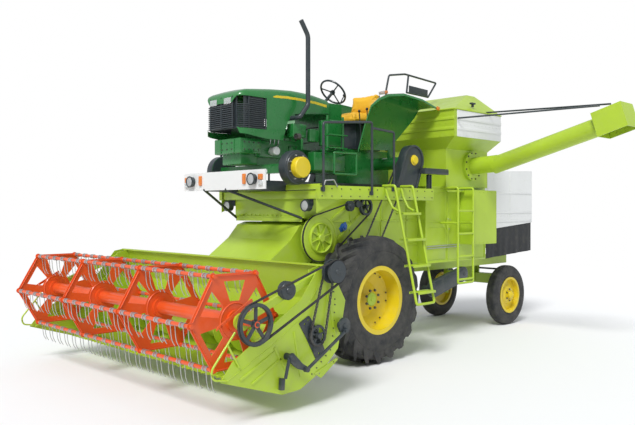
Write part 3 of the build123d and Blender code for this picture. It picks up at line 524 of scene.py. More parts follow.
def corners_at(form, points):
    """Add a form's corners at the machine's millimetres."""
    return [form.verts.new(place(*point)) for point in points]


def loft(form, rings, caps=True, closed=True):
    """Join rings of corners with faces, closed round each ring, and cap the first and last."""
    for near, far in zip(rings, rings[1:]):
        for spot in range(len(near) if closed else len(near) - 1):
            after = (spot + 1) % len(near)
            form.faces.new((near[spot], near[after], far[after], far[spot]))
    if caps:
        form.faces.new(rings[0])
        form.faces.new(rings[-1])


def belt(name, x, loop, width, thick, body="chassis"):
    """A closed band across x that follows (y, z) points, thicker outwards."""
    form = bmesh.new()
    rings = []
    for index, (y, z) in enumerate(loop):
        before, after = loop[index - 1], loop[(index + 1) % len(loop)]
        along = Vector((after[0] - before[0], after[1] - before[1])).normalized()
        rings.append(corners_at(form, [
            (x + wide, y + along.y * deep, z - along.x * deep)
            for wide, deep in ((-width / 2, thick / 2), (width / 2, thick / 2),
                               (width / 3, -thick / 2), (-width / 3, -thick / 2))]))
    loft(form, rings + rings[:1], caps=False)
    return finish_form(name, form, belt_rubber, body)


def roller_chain(name, x, loop, body="chassis", pitch=25.4):
    """Links and rollers, pitch by pitch, along a closed (y, z) loop."""
    ring = [Vector(spot) for spot in loop + loop[:1]]
    lengths = [0]
    for near, far in zip(ring, ring[1:]):
        lengths.append(lengths[-1] + (far - near).length)
    count = int(lengths[-1] / pitch) // 2 * 2
    pins = []
    for step in range(count):
        want = lengths[-1] * step / count
        index = max(spot for spot in range(len(loop)) if lengths[spot] <= want)
        share = (want - lengths[index]) / max(1e-6, lengths[index + 1] - lengths[index])
        pins.append(ring[index].lerp(ring[index + 1], share))
    boxes = []
    for step, (near, far) in enumerate(zip(pins, pins[1:] + pins[:1])):
        turn = math.degrees(math.atan2(far.y - near.y, far.x - near.x))
        for wall in (1, -1):
            boxes.append(((x + wall * (6 if step % 2 else 9), *(near + far) / 2),
                          (2.4, pitch * 1.35, 15), (turn, 0, 0)))
        boxes.append(((x, *near), (12, 9, 9), (turn + 45, 0, 0)))
    return bevelled(name, boxes, oily, body, 2, 1)


belt("feeder_belt", 672, loop_points([(*BODY_PULLEY, 107), (*SHEAVE, 262)]), 22, 13)
roller_chain("knife_chain", SHEET_FACE + 27.8,
             loop_points([(*CHAIN_WHEEL, 90), (*COUNTERSHAFT, 60)]), "header")
reel_belt = belt("reel_belt", REEL_BELT_X, loop_points([(*COUNTERSHAFT, 104), (*REEL, 168)]),
                 24, 14, None)
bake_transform(reel_belt)

# Driver's seat. A moulded cushion with raised edges and a backrest, puffed up by a
# cloth pass; the cushion stands for the CAD seat.
PADDING, PUFF_FRAMES = 0.8, 16


def cushion(name, centre, size, turns):
    """A padded block, remeshed and blown up a little as cloth."""
    made = bevelled(name, [(centre, size, turns)], vinyl, edge=26, segments=4)
    remesh = made.modifiers.new("weave", "REMESH")
    remesh.mode = "VOXEL"
    remesh.voxel_size = 0.007
    bpy.context.view_layer.objects.active = made
    made.select_set(True)
    bpy.ops.object.modifier_apply(modifier="weave")
    pins = made.vertex_groups.new(name="seated")
    heights = [corner.co.z for corner in made.data.vertices]
    base = min(heights) + 0.25 * (max(heights) - min(heights))
    pins.add([corner.index for corner in made.data.vertices if corner.co.z < base],
             1.0, "REPLACE")
    cloth = made.modifiers.new("puff", "CLOTH")
    cloth.settings.use_pressure = True
    cloth.settings.uniform_pressure_force = 4.0
    cloth.settings.effector_weights.gravity = 0
    cloth.settings.vertex_group_mass = "seated"
    cloth.settings.quality = 5
    cloth.point_cache.frame_start, cloth.point_cache.frame_end = 1, PUFF_FRAMES
    for step in range(1, PUFF_FRAMES + 1):
        scene.frame_set(step)
    bpy.context.view_layer.update()
    bpy.ops.object.modifier_apply(modifier="puff")
    scene.frame_set(1)
    made.data.shade_smooth()
    made.select_set(False)
    return made


seat_low = cushion("seat_cushion", (0, 735, 2908), (452, 400, 84), (4, 0, 0))
cushion("seat_backrest", (0, 985, 3098), (440, 80, 320), (-12, 0, 0))
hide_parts("seat")
bevelled("seat_shell", [
    ((0, 755, 2866), (430, 400, 10), (3, 0, 0)), ((0, 950, 2912), (430, 14, 110), (-30, 0, 0)),
    ((0, 1033, 3095), (400, 12, 300), (-12, 0, 0))], slate)

# Bonnet trim. A yellow band that tapers to the rear along each side, the seams of the
# sheets, and mesh behind the grille's bars.
BONNET_HALF = 330


def side_strip(name, side, spots, thick, finish):
    """A thin strip on the bonnet's side: (y, low z, high z) rows, thick outwards."""
    form = bmesh.new()
    rows = [corners_at(form, [
        (side * BONNET_HALF, y, low), (side * (BONNET_HALF + thick), y, low + 1),
        (side * (BONNET_HALF + thick), y, high - 1), (side * BONNET_HALF, y, high)])
        for y, low, high in spots]
    loft(form, rows, closed=False)
    return finish_form(name, form, finish, "bonnet")


for label, side in SIDES:
    side_strip(f"bonnet_band_{label}", side, [
        (-900, 2985, 2993), (-860, 2984, 3010), (-700, 2990, 3020), (-500, 2990, 3018),
        (-240, 2976, 3006), (-60, 2954, 2986)], 1.6, rim_yellow)
    side_strip(f"bonnet_seam_{label}", side, [
        (-600, 2822, 2826), (-300, 2866, 2870), (-40, 2888, 2892)], 1.2, slate)
bevelled("head_lamps", both_sides([((128, -1379, 2916), (120, 12, 66))]), glass, "bonnet")
bevelled("grille_mesh", [((x, -1352, 2755), (3, 5, 230)) for x in range(-216, 217, 18)]
         + both_sides([((312, y, 2755), (5, 3, 230)) for y in range(-1215, -1030, 14)]),
         slate, "bonnet", 1, 1)


# Open engine. Injector pipes, a filter, covers and links round the plain block, all on the
# side that shows under the bonnet.
def tubes(name, runs, radius, finish, body="chassis", sides=3):
    """Round tubes along smooth lines through (x, y, z) points, joined in one piece."""
    curve = bpy.data.curves.new(name + "_line", "CURVE")
    curve.dimensions = "3D"
    curve.bevel_depth = radius / 1000
    curve.bevel_resolution = sides
    curve.use_fill_caps = True
    curve.resolution_u = 6
    for points in runs:
        line = curve.splines.new("NURBS")
        line.points.add(len(points) - 1)
        for spot, point in zip(line.points, points):
            spot.co = (*place(*point), 1)
        line.order_u = 3
        line.use_endpoint_u = True
    return fit_piece(name, real_mesh(add_object(name + "_line", curve)), finish, body, 60)


tubes("injector_pipes", [
    [(172, y, 2470), (196, y, 2500), (190, y, 2600), (150, y + 10, 2648)]
    for y in (-820, -760, -700)], 5, bright)
turned("oil_filter", [(-790, 2400, [
    (170, 0), (170, 46), (176, 50), (262, 50), (270, 42), (272, 0)])], white)
bevelled("engine_covers", [
    ((0, -640, 2660), (230, 470, 46)), ((176, -560, 2570), (16, 300, 70)),
    ((-176, -560, 2570), (16, 300, 70)), ((176, -470, 2420), (18, 120, 120))], green, edge=10)
bolt_rows("engine_bolts", [
    ((x, y, z), (x, end, z), count, LEFT) for x, y, end, z, count in (
        (185, -690, -430, 2595, 4), (185, -690, -430, 2545, 4),
        (186, -515, -425, 2375, 2), (186, -515, -425, 2465, 2))], oily, "chassis", 10, 8)
turned("exhaust_clamps", [(450, 2560, [(-668, 28), (-668, 34), (-612, 34), (-612, 28)])],
       oily, steps=40, axis="y")
tubes("throttle_links", [
    [(180, -300, 2520), (240, -200, 2540), (240, -60, 2560), (200, 30, 2600)],
    [(150, -340, 2640), (230, -280, 2700), (240, -100, 2720), (180, 10, 2760)]], 7, belt_rubber)

# Controls. Bent levers with round knobs stand by the seat and the steering column.
# The left side has a second lever.
tubes("control_levers", [
    [(side * 330, 560, 2500), (side * 330, 540, 2800), (side * 345, 500, 2960)]
    for side in (1, -1)] + [
    [(380, 640, 2500), (380, 620, 2820), (395, 590, 2990)],
    [(130, 300, 2900), (170, 340, 3080), (200, 380, 3160)]], 7, slate)
turned("lever_knobs", [
    (y, z, outline([(-18, 0), (-13, 13), (0, 19), (13, 13), (18, 0)], x))
    for x, y, z in ((345, 500, 2966), (-345, 500, 2966), (395, 590, 2996), (200, 380, 3166))],
    belt_rubber, "chassis", 20)


# Deck. Folded channel beams beside the tractor from the front panel back, cross beams and
# a lip under them, a floor plate, and two dark beams that carry the tractor's castings.
def bent(points, bend=60):
    """Add a point before and after each corner, so a smooth line keeps its straight runs."""
    spots = [Vector(point) for point in points]
    line = [spots[0]]
    for before, corner, after in zip(spots, spots[1:], spots[2:]):
        line += [corner + (before - corner).normalized() * bend, corner,
                 corner + (after - corner).normalized() * bend]
    return line + [spots[-1]]


deck_boxes = both_sides([
    ((897, 282, 1925), (6, 2036, 149)), ((866, 282, 1997), (62, 2036, 6)),
    ((866, 282, 1853), (62, 2036, 6)), ((868, -733, 1925), (62, 6, 149)),
    ((868, 1297, 1925), (62, 6, 149))]
    + [((888, y, 1925), (10, 8, 138)) for y in (-240, 150, 620, 1050)])
deck_boxes += [((0, y, 1901), (1660, 66, 94)) for y in (-690, 150, 1260)]
deck_boxes += [
    ((0, -734, 1985), (1800, 8, 62)), ((0, -719, 2012), (1800, 36, 6)),
    ((0, 770, 1944), (1196, 936, 6)), ((0, 680, 2002), (396, 156, 114)),
    ((0, -875, 2004), (596, 86, 110)), ((0, -690, 1770), (1236, 14, 256)),
    ((0, -699, 1892), (1240, 26, 10)), ((0, -699, 1650), (1240, 26, 10))]
deck_piece = bevelled("deck_beams", deck_boxes, lime, edge=3)
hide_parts("deck_frame")
bevelled("tractor_beams", both_sides([((320, -38, 2000), (76, 2612, 116))] + [
    ((320, y, 2000), (84, 40, 118)) for y in (-1300, -600, 200, 900)]), slate, edge=6)
bevelled("battery_shelf", [((861, 1375, 2218), (76, 508, 62)), ((861, 1375, 2254), (70, 500, 12))]
         + [((865, y, 2088), (46, 16, 186)) for y in (1223, 1268)], slate, edge=6)
form = bmesh.new()
for side in (1, -1):
    loft(form, [corners_at(form, [
        (side * x, y, z) for y, z in ((-735, 1853), (-380, 1853), (-735, 1700))])
        for x in (846, 852)])
finish_form("deck_gussets", form, lime)
tubes("stay_rods", [
    bent([(905, -690, 1960), (940, -690, 2050), (940, -560, 2060), (905, -470, 1990)], 24)],
    8, bright)

# Hand rails. Two hoops of bent dark tube on each side of the deck, the second welded to the
# first's rear post, and braces down from the front board to the panel.
rail_runs = []
for x in (915, -915):
    rail_runs += [bent([(x, -693, 1930), (x, -693, 2674), (x, 93, 2742), (x, 93, 1900)], 70),
                  bent([(x, 93, 2676), (x, 489, 2655), (x, 489, 1960)])]
rail_runs += [[(60, -1364, 1960), (590, -704, 1640)], [(-330, -1364, 1960), (-590, -704, 1640)]]
rail_piece = tubes("rail_tubes", rail_runs, 14.5, slate, "chassis", 4)
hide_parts("hand_rails")
bevelled("rail_feet", both_sides([
    ((907, y, z), (12, 62, 44)) for y, z in ((-693, 1960), (93, 1925), (489, 1975))]), slate)

# Fenders. Pressed green sheets over the final drives, swept back towards the seat, with a
# rolled lip outside and an upright wall inside.
OUTER_EDGE = [(24, 2425), (130, 2715), (252, 2968), (400, 3070), (582, 3138), (891, 3180),
              (1250, 3150), (1590, 3066)]
INNER_EDGE = [(422, 2468), (520, 2760), (606, 2990), (690, 3080), (800, 3142), (976, 3182),
              (1280, 3162), (1590, 3078)]
COLUMNS = ((430, 0.0, 0), (470, 0.12, 10), (640, 0.64, 16), (728, 0.9, 10), (758, 1.0, 0),
           (764, 1.0, -26))  # x, share of the way to the outer edge, rise
form = bmesh.new()
for side in (1, -1):
    rows = [corners_at(form, [
        (side * x, inner_y + (outer_y - inner_y) * share,
         inner_z + (outer_z - inner_z) * share + rise) for x, share, rise in COLUMNS])
        for (outer_y, outer_z), (inner_y, inner_z) in zip(OUTER_EDGE, INNER_EDGE)]
    loft(form, rows, caps=False, closed=False)
    form.faces.new([row[0] for row in rows]
                   + corners_at(form, [(side * 430, 1500, 2960), (side * 430, 960, 2500)]))
fender_piece = finish_form("fender_sheets", form, green, crease=50, thick=0.006)
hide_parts("fenders")
bevelled("fender_brackets", both_sides([((424, 1020, 2440), (20, 130, 260))]), green, edge=8)

# Front hubs. The tractor's front wheels are off: dark brake drums with studs and a bright
# yellow cap close the axle's ends.
FRONT_HUB = (-875, 2190)
for label, side in SIDES:
    turned(f"front_drum_{label}", [(*FRONT_HUB, outline([
        (598, 0), (598, 176), (604, 187), (700, 187), (710, 180), (712, 166), (720, 160),
        (721, 0)], 0, side))], slate, "chassis", 56)
    turned(f"front_cap_{label}", [(*FRONT_HUB, outline([
        (718, 0), (718, 114), (788, 112), (797, 104), (798, 0)], 0, side))], rim_yellow)
    bolt_rows(f"front_studs_{label}", bolt_circle(side * 720, *FRONT_HUB, 136, range(20, 380, 45),
                                                  side), bright, "chassis", 9, 18, 8)

# Steering wheel. A thin ring on three spokes and a raked column, made in metres round the
# wheel's own middle.
RING_RADIUS, RING_HALF = 0.178, 0.0125
form = bmesh.new()
lean = Matrix.Translation(place(0, 385, 3232)) @ Matrix.Rotation(math.radians(-46), 4, "X")
rings = []
for x, y in around(0, 0, 1, [360 * step / 56 for step in range(56)]):
    rings.append([form.verts.new(lean @ Vector((x * reach, y * reach, lift)))
                  for reach, lift in around(RING_RADIUS, 0, RING_HALF, range(0, 360, 36))])
loft(form, rings + rings[:1], caps=False)
for turn in (90, 210, 330):
    spoke = (lean @ Matrix.Rotation(math.radians(turn), 4, "Z")
             @ Matrix.Translation((0.1, 0, -0.008)) @ Matrix.Diagonal((0.165, 0.016, 0.007, 1)))
    bmesh.ops.create_cube(form, size=1, matrix=spoke)
for segments, low, top, depth, drop in ((24, 0.036, 0.026, 0.03, -0.004),
                                        (20, 0.022, 0.018, 0.42, -0.21)):
    bmesh.ops.create_cone(form, segments=segments, radius1=low, radius2=top, depth=depth,
                          cap_ends=True, matrix=lean @ Matrix.Translation((0, 0, drop)))
steering_piece = finish_form("steering_ring", form, slate)
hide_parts("steering_wheel")

# Guard frame behind the seat. Bent tube with a mid post, a cross rail and a dark back plate.
# Two dark blocks under the seat carry it.
frame_piece = tubes("seat_guard_tubes", [
    bent([(300, 1070, 2505), (300, 1070, 3290), (300, 1131, 3505), (300, 1466, 3563),
          (300, 2165, 3529), (300, 1978, 3309)], 55),
    [(300, 1540, 3556), (300, 1500, 3320)], [(300, 1500, 3320), (300, 1978, 3309)]],
    13, slate, "chassis", 4)
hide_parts("seat_frame")
bevelled("seat_plates", [
    ((300, 1760, 3365), (5, 420, 100), (-2, 0, 0)), ((0, 780, 2680), (300, 250, 350)),
    ((0, 800, 2512), (420, 520, 16))], slate, edge=6)

# Bonnet. One pressed green shell with a crowned top and a rounded nose, hinged at its rear.
# The window round the nose is left open for the louvres of the grille.
NOSE_Y, NOSE_ROUND, EDGE_ROUND = -1378, 130, 90
WINDOW_LOW, WINDOW_TOP, WINDOW_REAR = 2617, 2965, -990
BONNET_TOP = [(-1378, 2905), (-1372, 2950), (-1345, 3000), (-1300, 3026), (-1230, 3052),
              (-1040, 3072), (-850, 3092), (-500, 3112), (-250, 3094), (-20, 3060)]
BONNET_LOW = [(-1378, 2690), (-1340, 2560), (-1000, 2518), (-755, 2518), (-680, 2740),
              (-560, 2830), (-20, 2880)]


def height_at(line, y):
    """Find the height of a (y, z) line at y."""
    for (y_low, z_low), (y_high, z_high) in zip(line, line[1:]):
        if y <= y_high:
            return z_low + (z_high - z_low) * (y - y_low) / (y_high - y_low)
    return line[-1][1]


stations = [NOSE_Y + NOSE_ROUND * (1 - math.cos(math.radians(turn))) for turn in range(0, 90, 15)]
stations += [-1240, -1130, WINDOW_REAR, -880, -755, -720, -680, -620, -560, -400, -250, -120, -20]
form = bmesh.new()
rows = []
for y in stations:
    reach = min(y - NOSE_Y, NOSE_ROUND)
    half = BONNET_HALF - NOSE_ROUND + math.sqrt(NOSE_ROUND ** 2 - (NOSE_ROUND - reach) ** 2)
    low, top = height_at(BONNET_LOW, y), height_at(BONNET_TOP, y)
    edge = min(EDGE_ROUND, (top - WINDOW_TOP) * 0.9 if top > WINDOW_TOP + 10 else 9)
    left = [(half, low), (half, max(low, WINDOW_LOW)),
            (half, max(low, min(WINDOW_TOP, top - edge)))]
    left += [(half - edge * (1 - math.cos(math.radians(turn))),
              top - edge * (1 - math.sin(math.radians(turn)))) for turn in (0, 30, 60, 90)]
    left += [(half * 0.35, top + 6), (0, top + 8)]
    profile = left + [(-x, z) for x, z in reversed(left[:-1])]
    rows.append(corners_at(form, [(x, y, z) for x, z in profile]))
count = len(rows[0])
for near, far, y in zip(rows, rows[1:], stations[1:]):
    for spot in range(count - 1):
        if y > WINDOW_REAR or spot not in (1, count - 3):
            form.faces.new((near[spot], near[spot + 1], far[spot + 1], far[spot]))
nose = rows[0]
for spot in range(count // 2 - 1):
    if spot != 1:
        form.faces.new((nose[spot], nose[spot + 1], nose[count - 2 - spot],
                        nose[count - 1 - spot]))
form.faces.new(nose[count // 2 - 1:count // 2 + 2])
bmesh.ops.remove_doubles(form, verts=form.verts, dist=0.0002)
bmesh.ops.dissolve_degenerate(form, edges=form.edges, dist=0.0002)
bonnet_piece = finish_form("bonnet_shell", form, green, "bonnet", 40, thick=0.006)
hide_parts("bonnet")
slats = [((0, -1366, z), (430, 10, 12), (-20, 0, 0)) for z in range(2632, 2880, 22)]
slats += both_sides([((318, -1118, z), (10, 236, 12), (0, 20, 0)) for z in range(2632, 2960, 22)]
                    + [((290, -1300, z), (10, 130, 12), (0, 0, -35))
                       for z in range(2632, 2880, 22)]
                    + [((x, y, 2790), (14, 14, 350))
                       for x, y in ((200, -1366), (316, -1236), (318, -998))]
                    + [((300, -1150, 2790), (4, 290, 350))])
slats += [((0, -1366, 2790), (14, 14, 350)), ((0, -1366, 2872), (430, 16, 16)),
          ((0, -1340, 2790), (500, 4, 350))]
bevelled("grille_louvres", slats, slate, "bonnet", 2, 1)

# Drive guards. A dark teardrop guard with a yellow hub covers each upper sprocket.
# Cut plates with rolled edges are made from outlines with holes.
HUB = (1021, 2356)
PLATE_TURN = Matrix(((0, 0, 1, 0), (1, 0, 0, 0), (0, 1, 0, 0), (0, 0, 0, 1)))


def rounded(corners, cut, steps=5):
    """Round each corner of an outline, from a cut before it to a cut after it."""
    line = []
    for spot, corner in enumerate(corners):
        corner = Vector(corner)
        before, after = Vector(corners[spot - 1]), Vector(corners[(spot + 1) % len(corners)])
        reach = min(cut, (before - corner).length / 2.1, (after - corner).length / 2.1)
        start = corner + (before - corner).normalized() * reach
        end = corner + (after - corner).normalized() * reach
        for step in range(steps + 1):
            share = step / steps
            line.append(tuple(start * (1 - share) ** 2 + corner * (2 * share * (1 - share))
                              + end * share ** 2))
    return line


def round_hole(u, v, radius, steps=24):
    """Draw a round hole in a plate."""
    return around(u, v, radius, [360 * step / steps for step in range(steps)])


def cut_plates(name, plates, finish, body="chassis", edge=1.5):
    """Join cut plates, each near and far along X, an outline and its holes."""
    form = bmesh.new()
    for near, far, outside, holes in plates:
        curve = bpy.data.curves.new(name + "_cut", "CURVE")
        curve.dimensions = "2D"
        curve.fill_mode = "BOTH"
        curve.bevel_depth = edge / 1000
        curve.bevel_resolution = 1
        curve.offset = -edge / 1000
        curve.extrude = (abs(far - near) / 2 - edge) / 1000
        for ring in [outside, *holes]:
            line = curve.splines.new("POLY")
            line.points.add(len(ring) - 1)
            for spot, (u, v) in zip(line.points, ring):
                spot.co = (u / 1000, v / 1000, 0, 1)
            line.use_cyclic_u = True
        mesh = real_mesh(add_object(name + "_cut", curve))
        mesh.transform(Matrix.Translation(place((near + far) / 2, 0, 0)) @ PLATE_TURN)
        form.from_mesh(mesh)
        bpy.data.meshes.remove(mesh)
    bmesh.ops.remove_doubles(form, verts=form.verts, dist=0.00002)
    return finish_form(name, form, finish, body)


def teardrop(inset):
    """Draw the guard's outline round the hub, drawn in by an inset."""
    return around(*HUB, 190 - inset, range(-12, 160, 8)) + [
        (655 + inset * 1.3, 1965 + inset), (1068 - inset, 1965 + inset)]


guards = []
for side in (1, -1):
    guards += [(side * 704, side * 812, teardrop(0), [teardrop(24)]),
               (side * 796, side * 802, teardrop(22), [round_hole(*HUB, 64)]),
               (side * 700, side * 706, teardrop(2), [])]
guard_piece = cut_plates("sprocket_guards", guards, slate, edge=2.5)
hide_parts("belt_drives")
turned("sprocket_hubs", [(*HUB, outline([
    (800, 0), (800, 66), (808, 66), (812, 54), (828, 52), (834, 44), (834, 0)], 0, side))
    for side in (1, -1)], rim_yellow)
cut_plates("lower_guard", [
    (722, 790, loop_points([(1490, 700, 110), (2140, 855, 100)]), []),
    (786, 794, loop_points([(1490, 700, 84), (2140, 855, 74)]), [])], slate, edge=9)
turned("lower_guard_bosses", [(y, z, [(590, 0), (590, 30), (796, 30), (803, 24), (803, 0)])
                              for y, z in ((1490, 700), (2140, 855))], slate)


# Belt pulleys on the body's left wall. Cast wheels with spokes on stub shafts, an idler and a
# blue bearing block.
def spokes(x, y, z, count, inner, outer, size):
    """Set spokes round an X axis from an inner to an outer radius."""
    turns = [360 * step / count + math.degrees(0.3) for step in range(count)]
    middles = around(y, z, (inner + outer) / 2, turns)
    return [((x, *middle), (size[0], outer - inner + 6, size[1]), (turn, 0, 0))
            for middle, turn in zip(middles, turns)]


blue = sprayed("bearing_blue", "dark_paint", (0.02, 0.11, 0.42), shine=0.35, dust=0.12)
turned("wall_pulleys", [
    (*BODY_PULLEY, [(655, 80), (655, 106), (661, 106), (672, 94), (684, 106), (690, 106),
                    (690, 80), (655, 80)]),
    (*BODY_PULLEY, [(600, 0), (600, 26), (700, 26), (704, 20), (704, 0)]),
    (-17, 1778, [(648, 0), (648, 61), (656, 62), (662, 52), (682, 52), (688, 62), (694, 61),
                 (694, 30), (700, 26), (700, 0)]),
    (120, 1800, [(648, 0), (648, 40), (688, 40), (688, 0)])], slate)
bevelled("wall_pulley_spokes", spokes(672, *BODY_PULLEY, 5, 24, 84, (14, 20)), slate, edge=3)
turned("blue_bearings", [(-63, 1533, [
    (600, 0), (600, 44), (632, 40), (632, 22), (646, 20), (646, 0)])], blue)
bevelled("bearing_feet", [((606, -63, 1533), (12, 130, 60), (35, 0, 0))], blue)

# Feeder sheave face. A raised ring on eight webs round the hub of the big lime sheave.
# Its rim is grooved for the feeder belt.
turned("feeder_sheave_rings", [
    (*SHEAVE, [(679, 150), (698, 153), (705, 163), (698, 174), (679, 178), (679, 150)]),
    (*SHEAVE, [(676, 0), (676, 52), (706, 46), (714, 40), (714, 0)]),
    (*SHEAVE, [(638, 236), (638, 262), (644, 262), (655, 250), (666, 262), (680, 262),
               (684, 236), (638, 236)])], lime, "header", 72)
bevelled("feeder_sheave_webs", spokes(690, *SHEAVE, 8, 46, 154, (20, 16)), lime, "header")

# Reel pulley. A dark cast wheel with five wide spokes at the left end of the reel's tube.
# Its rim is grooved for the reel's belt.
reel_wheel = turned("reel_wheel", [
    (*REEL, [(1940, 142), (1940, 170), (1946, 170), (1957, 158), (1968, 170), (1975, 170),
             (1975, 142), (1966, 138), (1949, 138), (1940, 142)]),
    (*REEL, [(1936, 0), (1936, 34), (1978, 32), (1978, 16), (1990, 15), (1990, 0)])],
    slate, "reel", 60)
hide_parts("reel_pulley")
bevelled("reel_wheel_spokes", spokes(1957, *REEL, 5, 30, 146, (16, 30)), slate, "reel")

# Header drive on the left sheet. Stepped pulleys on the countershaft, a chain sprocket on a
# bent plate, and a crank, rod and bell-crank that shake the knife.
drive_plate = cut_plates("drive_plate", [
    (SHEET_FACE, SHEET_FACE + 8, rounded([
        (-1909, 761), (-1788, 818), (-1683, 673), (-1582, 461), (-1695, 405), (-1818, 618)], 18),
     [round_hole(y, z, 9) for y, z in ((-1840, 748), (-1800, 778), (-1668, 470))]),
    (SHEET_FACE + 60, SHEET_FACE + 80, rounded([
        (-2085, 520), (-2040, 540), (-1930, 430), (-1862, 390), (-1870, 352), (-1990, 395),
        (-2060, 450)], 14), [])], slate, "header")
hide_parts("header_drive")
DRIVE_WHEELS = [  # y, z of each axis, and its outline from the sheet's face outwards
    (*CHAIN_WHEEL, [(22, 70), (22, 90), (28, 95), (34, 90), (34, 70), (22, 70)]),
    (*CHAIN_WHEEL, [(6, 0), (6, 30), (60, 26), (60, 0)]),
    (*COUNTERSHAFT, [(0, 0), (0, 52), (14, 50), (14, 26), (40, 26), (40, 106), (46, 108),
                     (55, 92), (64, 108), (70, 106), (70, 40), (103, 40), (103, 98), (109, 100),
                     (121, 88), (133, 100), (139, 98), (139, 30), (146, 24), (146, 0)]),
    (*COUNTERSHAFT, [(18, 20), (18, 60), (28, 66), (34, 60), (34, 20)]),
    (-2032, 1053, [(-46.5, 0), (-46.5, 76), (-40.5, 80), (-28.5, 66), (-16.5, 80), (-8.5, 80),
                   (1.5, 66), (13.5, 80), (19.5, 76), (19.5, 30), (29.5, 24), (29.5, 0)]),
    (-1400, 690, [(0, 0), (0, 34), (48, 34), (48, 74), (70, 70), (70, 24), (80, 22), (80, 0)]),
    (-1400, 650, [(68, 0), (68, 22), (98, 20), (98, 0)]),
    (-2050, 500, [(0, 0), (0, 30), (84, 26), (92, 18), (92, 0)]),
    (-1885, 375, [(60, 0), (60, 26), (98, 24), (98, 0)])]
turned("drive_wheels", [(y, z, outline(points, SHEET_FACE)) for y, z, points in DRIVE_WHEELS],
       slate, "header")


def strut(x, start, end, width, depth):
    """Lay a flat bar between two (y, z) points beside a side sheet."""
    run, rise = end[0] - start[0], end[1] - start[1]
    return ((x, (start[0] + end[0]) / 2, (start[1] + end[1]) / 2),
            (depth, math.hypot(run, rise), width), (math.degrees(math.atan2(rise, run)), 0, 0))


bevelled("knife_rods", spokes(SHEET_FACE + 28, *CHAIN_WHEEL, 5, 26, 74, (10, 16)) + [
    strut(SHEET_FACE + 85, (-1400, 650), (-1885, 375), 30, 16),
    strut(SHEET_FACE + 70, (-2075, 500), (-2120, 330), 32, 14),
    strut(SHEET_FACE + 30, (-2120, 330), (-2128, 232), 40, 40)], slate, "header", 5)

# Header side sheets. Pressed ribs across each sheet, a folded lip along its top edge, slotted
# tabs at its rear and bent hoops that part the crop in front.
SHEET_RIBS = (((-2540, 378), (-2174, 552)), ((-2420, 325), (-2107, 490)),
              ((-2180, 590), (-2030, 350)), ((-1960, 700), (-1880, 300)),
              ((-1560, 1010), (-1440, 560)))
SIDE_LIP = ((-2680, 385), (-2188, 618), (-1876, 813), (-1668, 1057))
bevelled("header_sheet_ribs", both_sides(
    [strut(1838, low, high, 26, 10) for low, high in SHEET_RIBS]
    + [strut(1822, low, high, 8, 34) for low, high in zip(SIDE_LIP, SIDE_LIP[1:])]),
    lime, "header")
tubes("crop_hoops", [
    bent([(x, -2600, 770), (x, -2830, 500), (x, -2811, 423), (x, -2690, 403)], 70)
    for x in (1850, -1826)] + [[(x, -2674, 681), (x, -2559, 488)] for x in (1850, -1826)],
    9, lime, "header")
cut_plates("sheet_tabs", [(side * 1838, side * 1844, rounded([
    (-1727, 299), (-1438, 401), (-1425, 381), (-1641, 245)], 12),
    [round_hole(-1660, 290, 8), round_hole(-1480, 366, 8)]) for side in (1, -1)], lime, "header")

# Ladders. Bent lime tube: one pair of rails with flat treads leans out from the deck, one
# upright pair with round rungs stands beside the tank.
TREADS, RUNGS, LADDER_TOP = (1700, 1400, 1100, 800), (820, 1120, 1420, 1720), 2016
ladder_runs = [bent([(880, y, LADDER_TOP), (1060, y, LADDER_TOP), (1380, y, 660),
                     (1380, 495, 660)], 50) for y in (330, 660)]
ladder_runs += [bent([(722, y, 2022), (1000, y, 2022), (1000, y, 772), (1000, 1865, 772)])
                for y in (1690, 2040)]
ladder_runs += [[(722, y, 1560), (1000, y, 1560)] for y in (1690, 2040)]
ladder_runs += [[(1000, 1690, z), (1000, 2040, z)] for z in RUNGS]
ladder_runs += [bent([(905, y, 1990), (940, y, 1880), (1010, y, 1760), (1096, y, 1720)], 30)
                for y in (350, 640)]
ladder_piece = tubes("ladder_rails", ladder_runs, 15, lime, "chassis", 4)
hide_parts("ladders")
tread_boxes = []
for z in TREADS:
    x = 1060 + (LADDER_TOP - z) / (LADDER_TOP - 655) * 320
    tread_boxes += [((x - 10, 495, z), (130, 330, 5)), ((x + 54, 495, z - 12), (5, 330, 28)),
                    ((x - 74, 495, z - 12), (5, 330, 28))]
bevelled("ladder_treads", tread_boxes, lime, edge=2)

# Tank cover. Lime sheets slope up from the tank's rim to a short ridge, open behind it, over
# the ribs and the white board on the tank's upper walls.
form = bmesh.new()
rim, ridge = [corners_at(form, [(x, back, z), (x, front, z), (-x, front, z), (-x, back, z)])
              for x, back, front, z in ((1000, 2730, 1610, 3053), (600, 2680, 2480, 3360))]
loft(form, [rim, ridge], caps=False, closed=False)
form.faces.new(ridge)
finish_form("tank_cover", form, lime, thick=0.006)
bevelled("tank_ribs", [((0, 1606, z), (2000, 14, 44)) for z in (2800, 2930)]
         + [((-1003, 2170, z), (14, 1110, 44)) for z in (2800, 2930)]
         + [((0, 1600, 3046), (2010, 24, 16))]
         + both_sides([((1004, 2170, 3046), (20, 1130, 16))]), lime, edge=5)
panel_piece = bevelled("tank_board", [((1004, 2190, 2862), (6, 1060, 348))]
                       + [((1009, 2190, z), (12, 1060, 44)) for z in (2800, 2930)], white)
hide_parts("tank_panel")
bevelled("cover_unit", [((950, 2100, 3162), (44, 90, 24)), ((950, 2100, 3140), (30, 30, 50))],
         slate, edge=6)

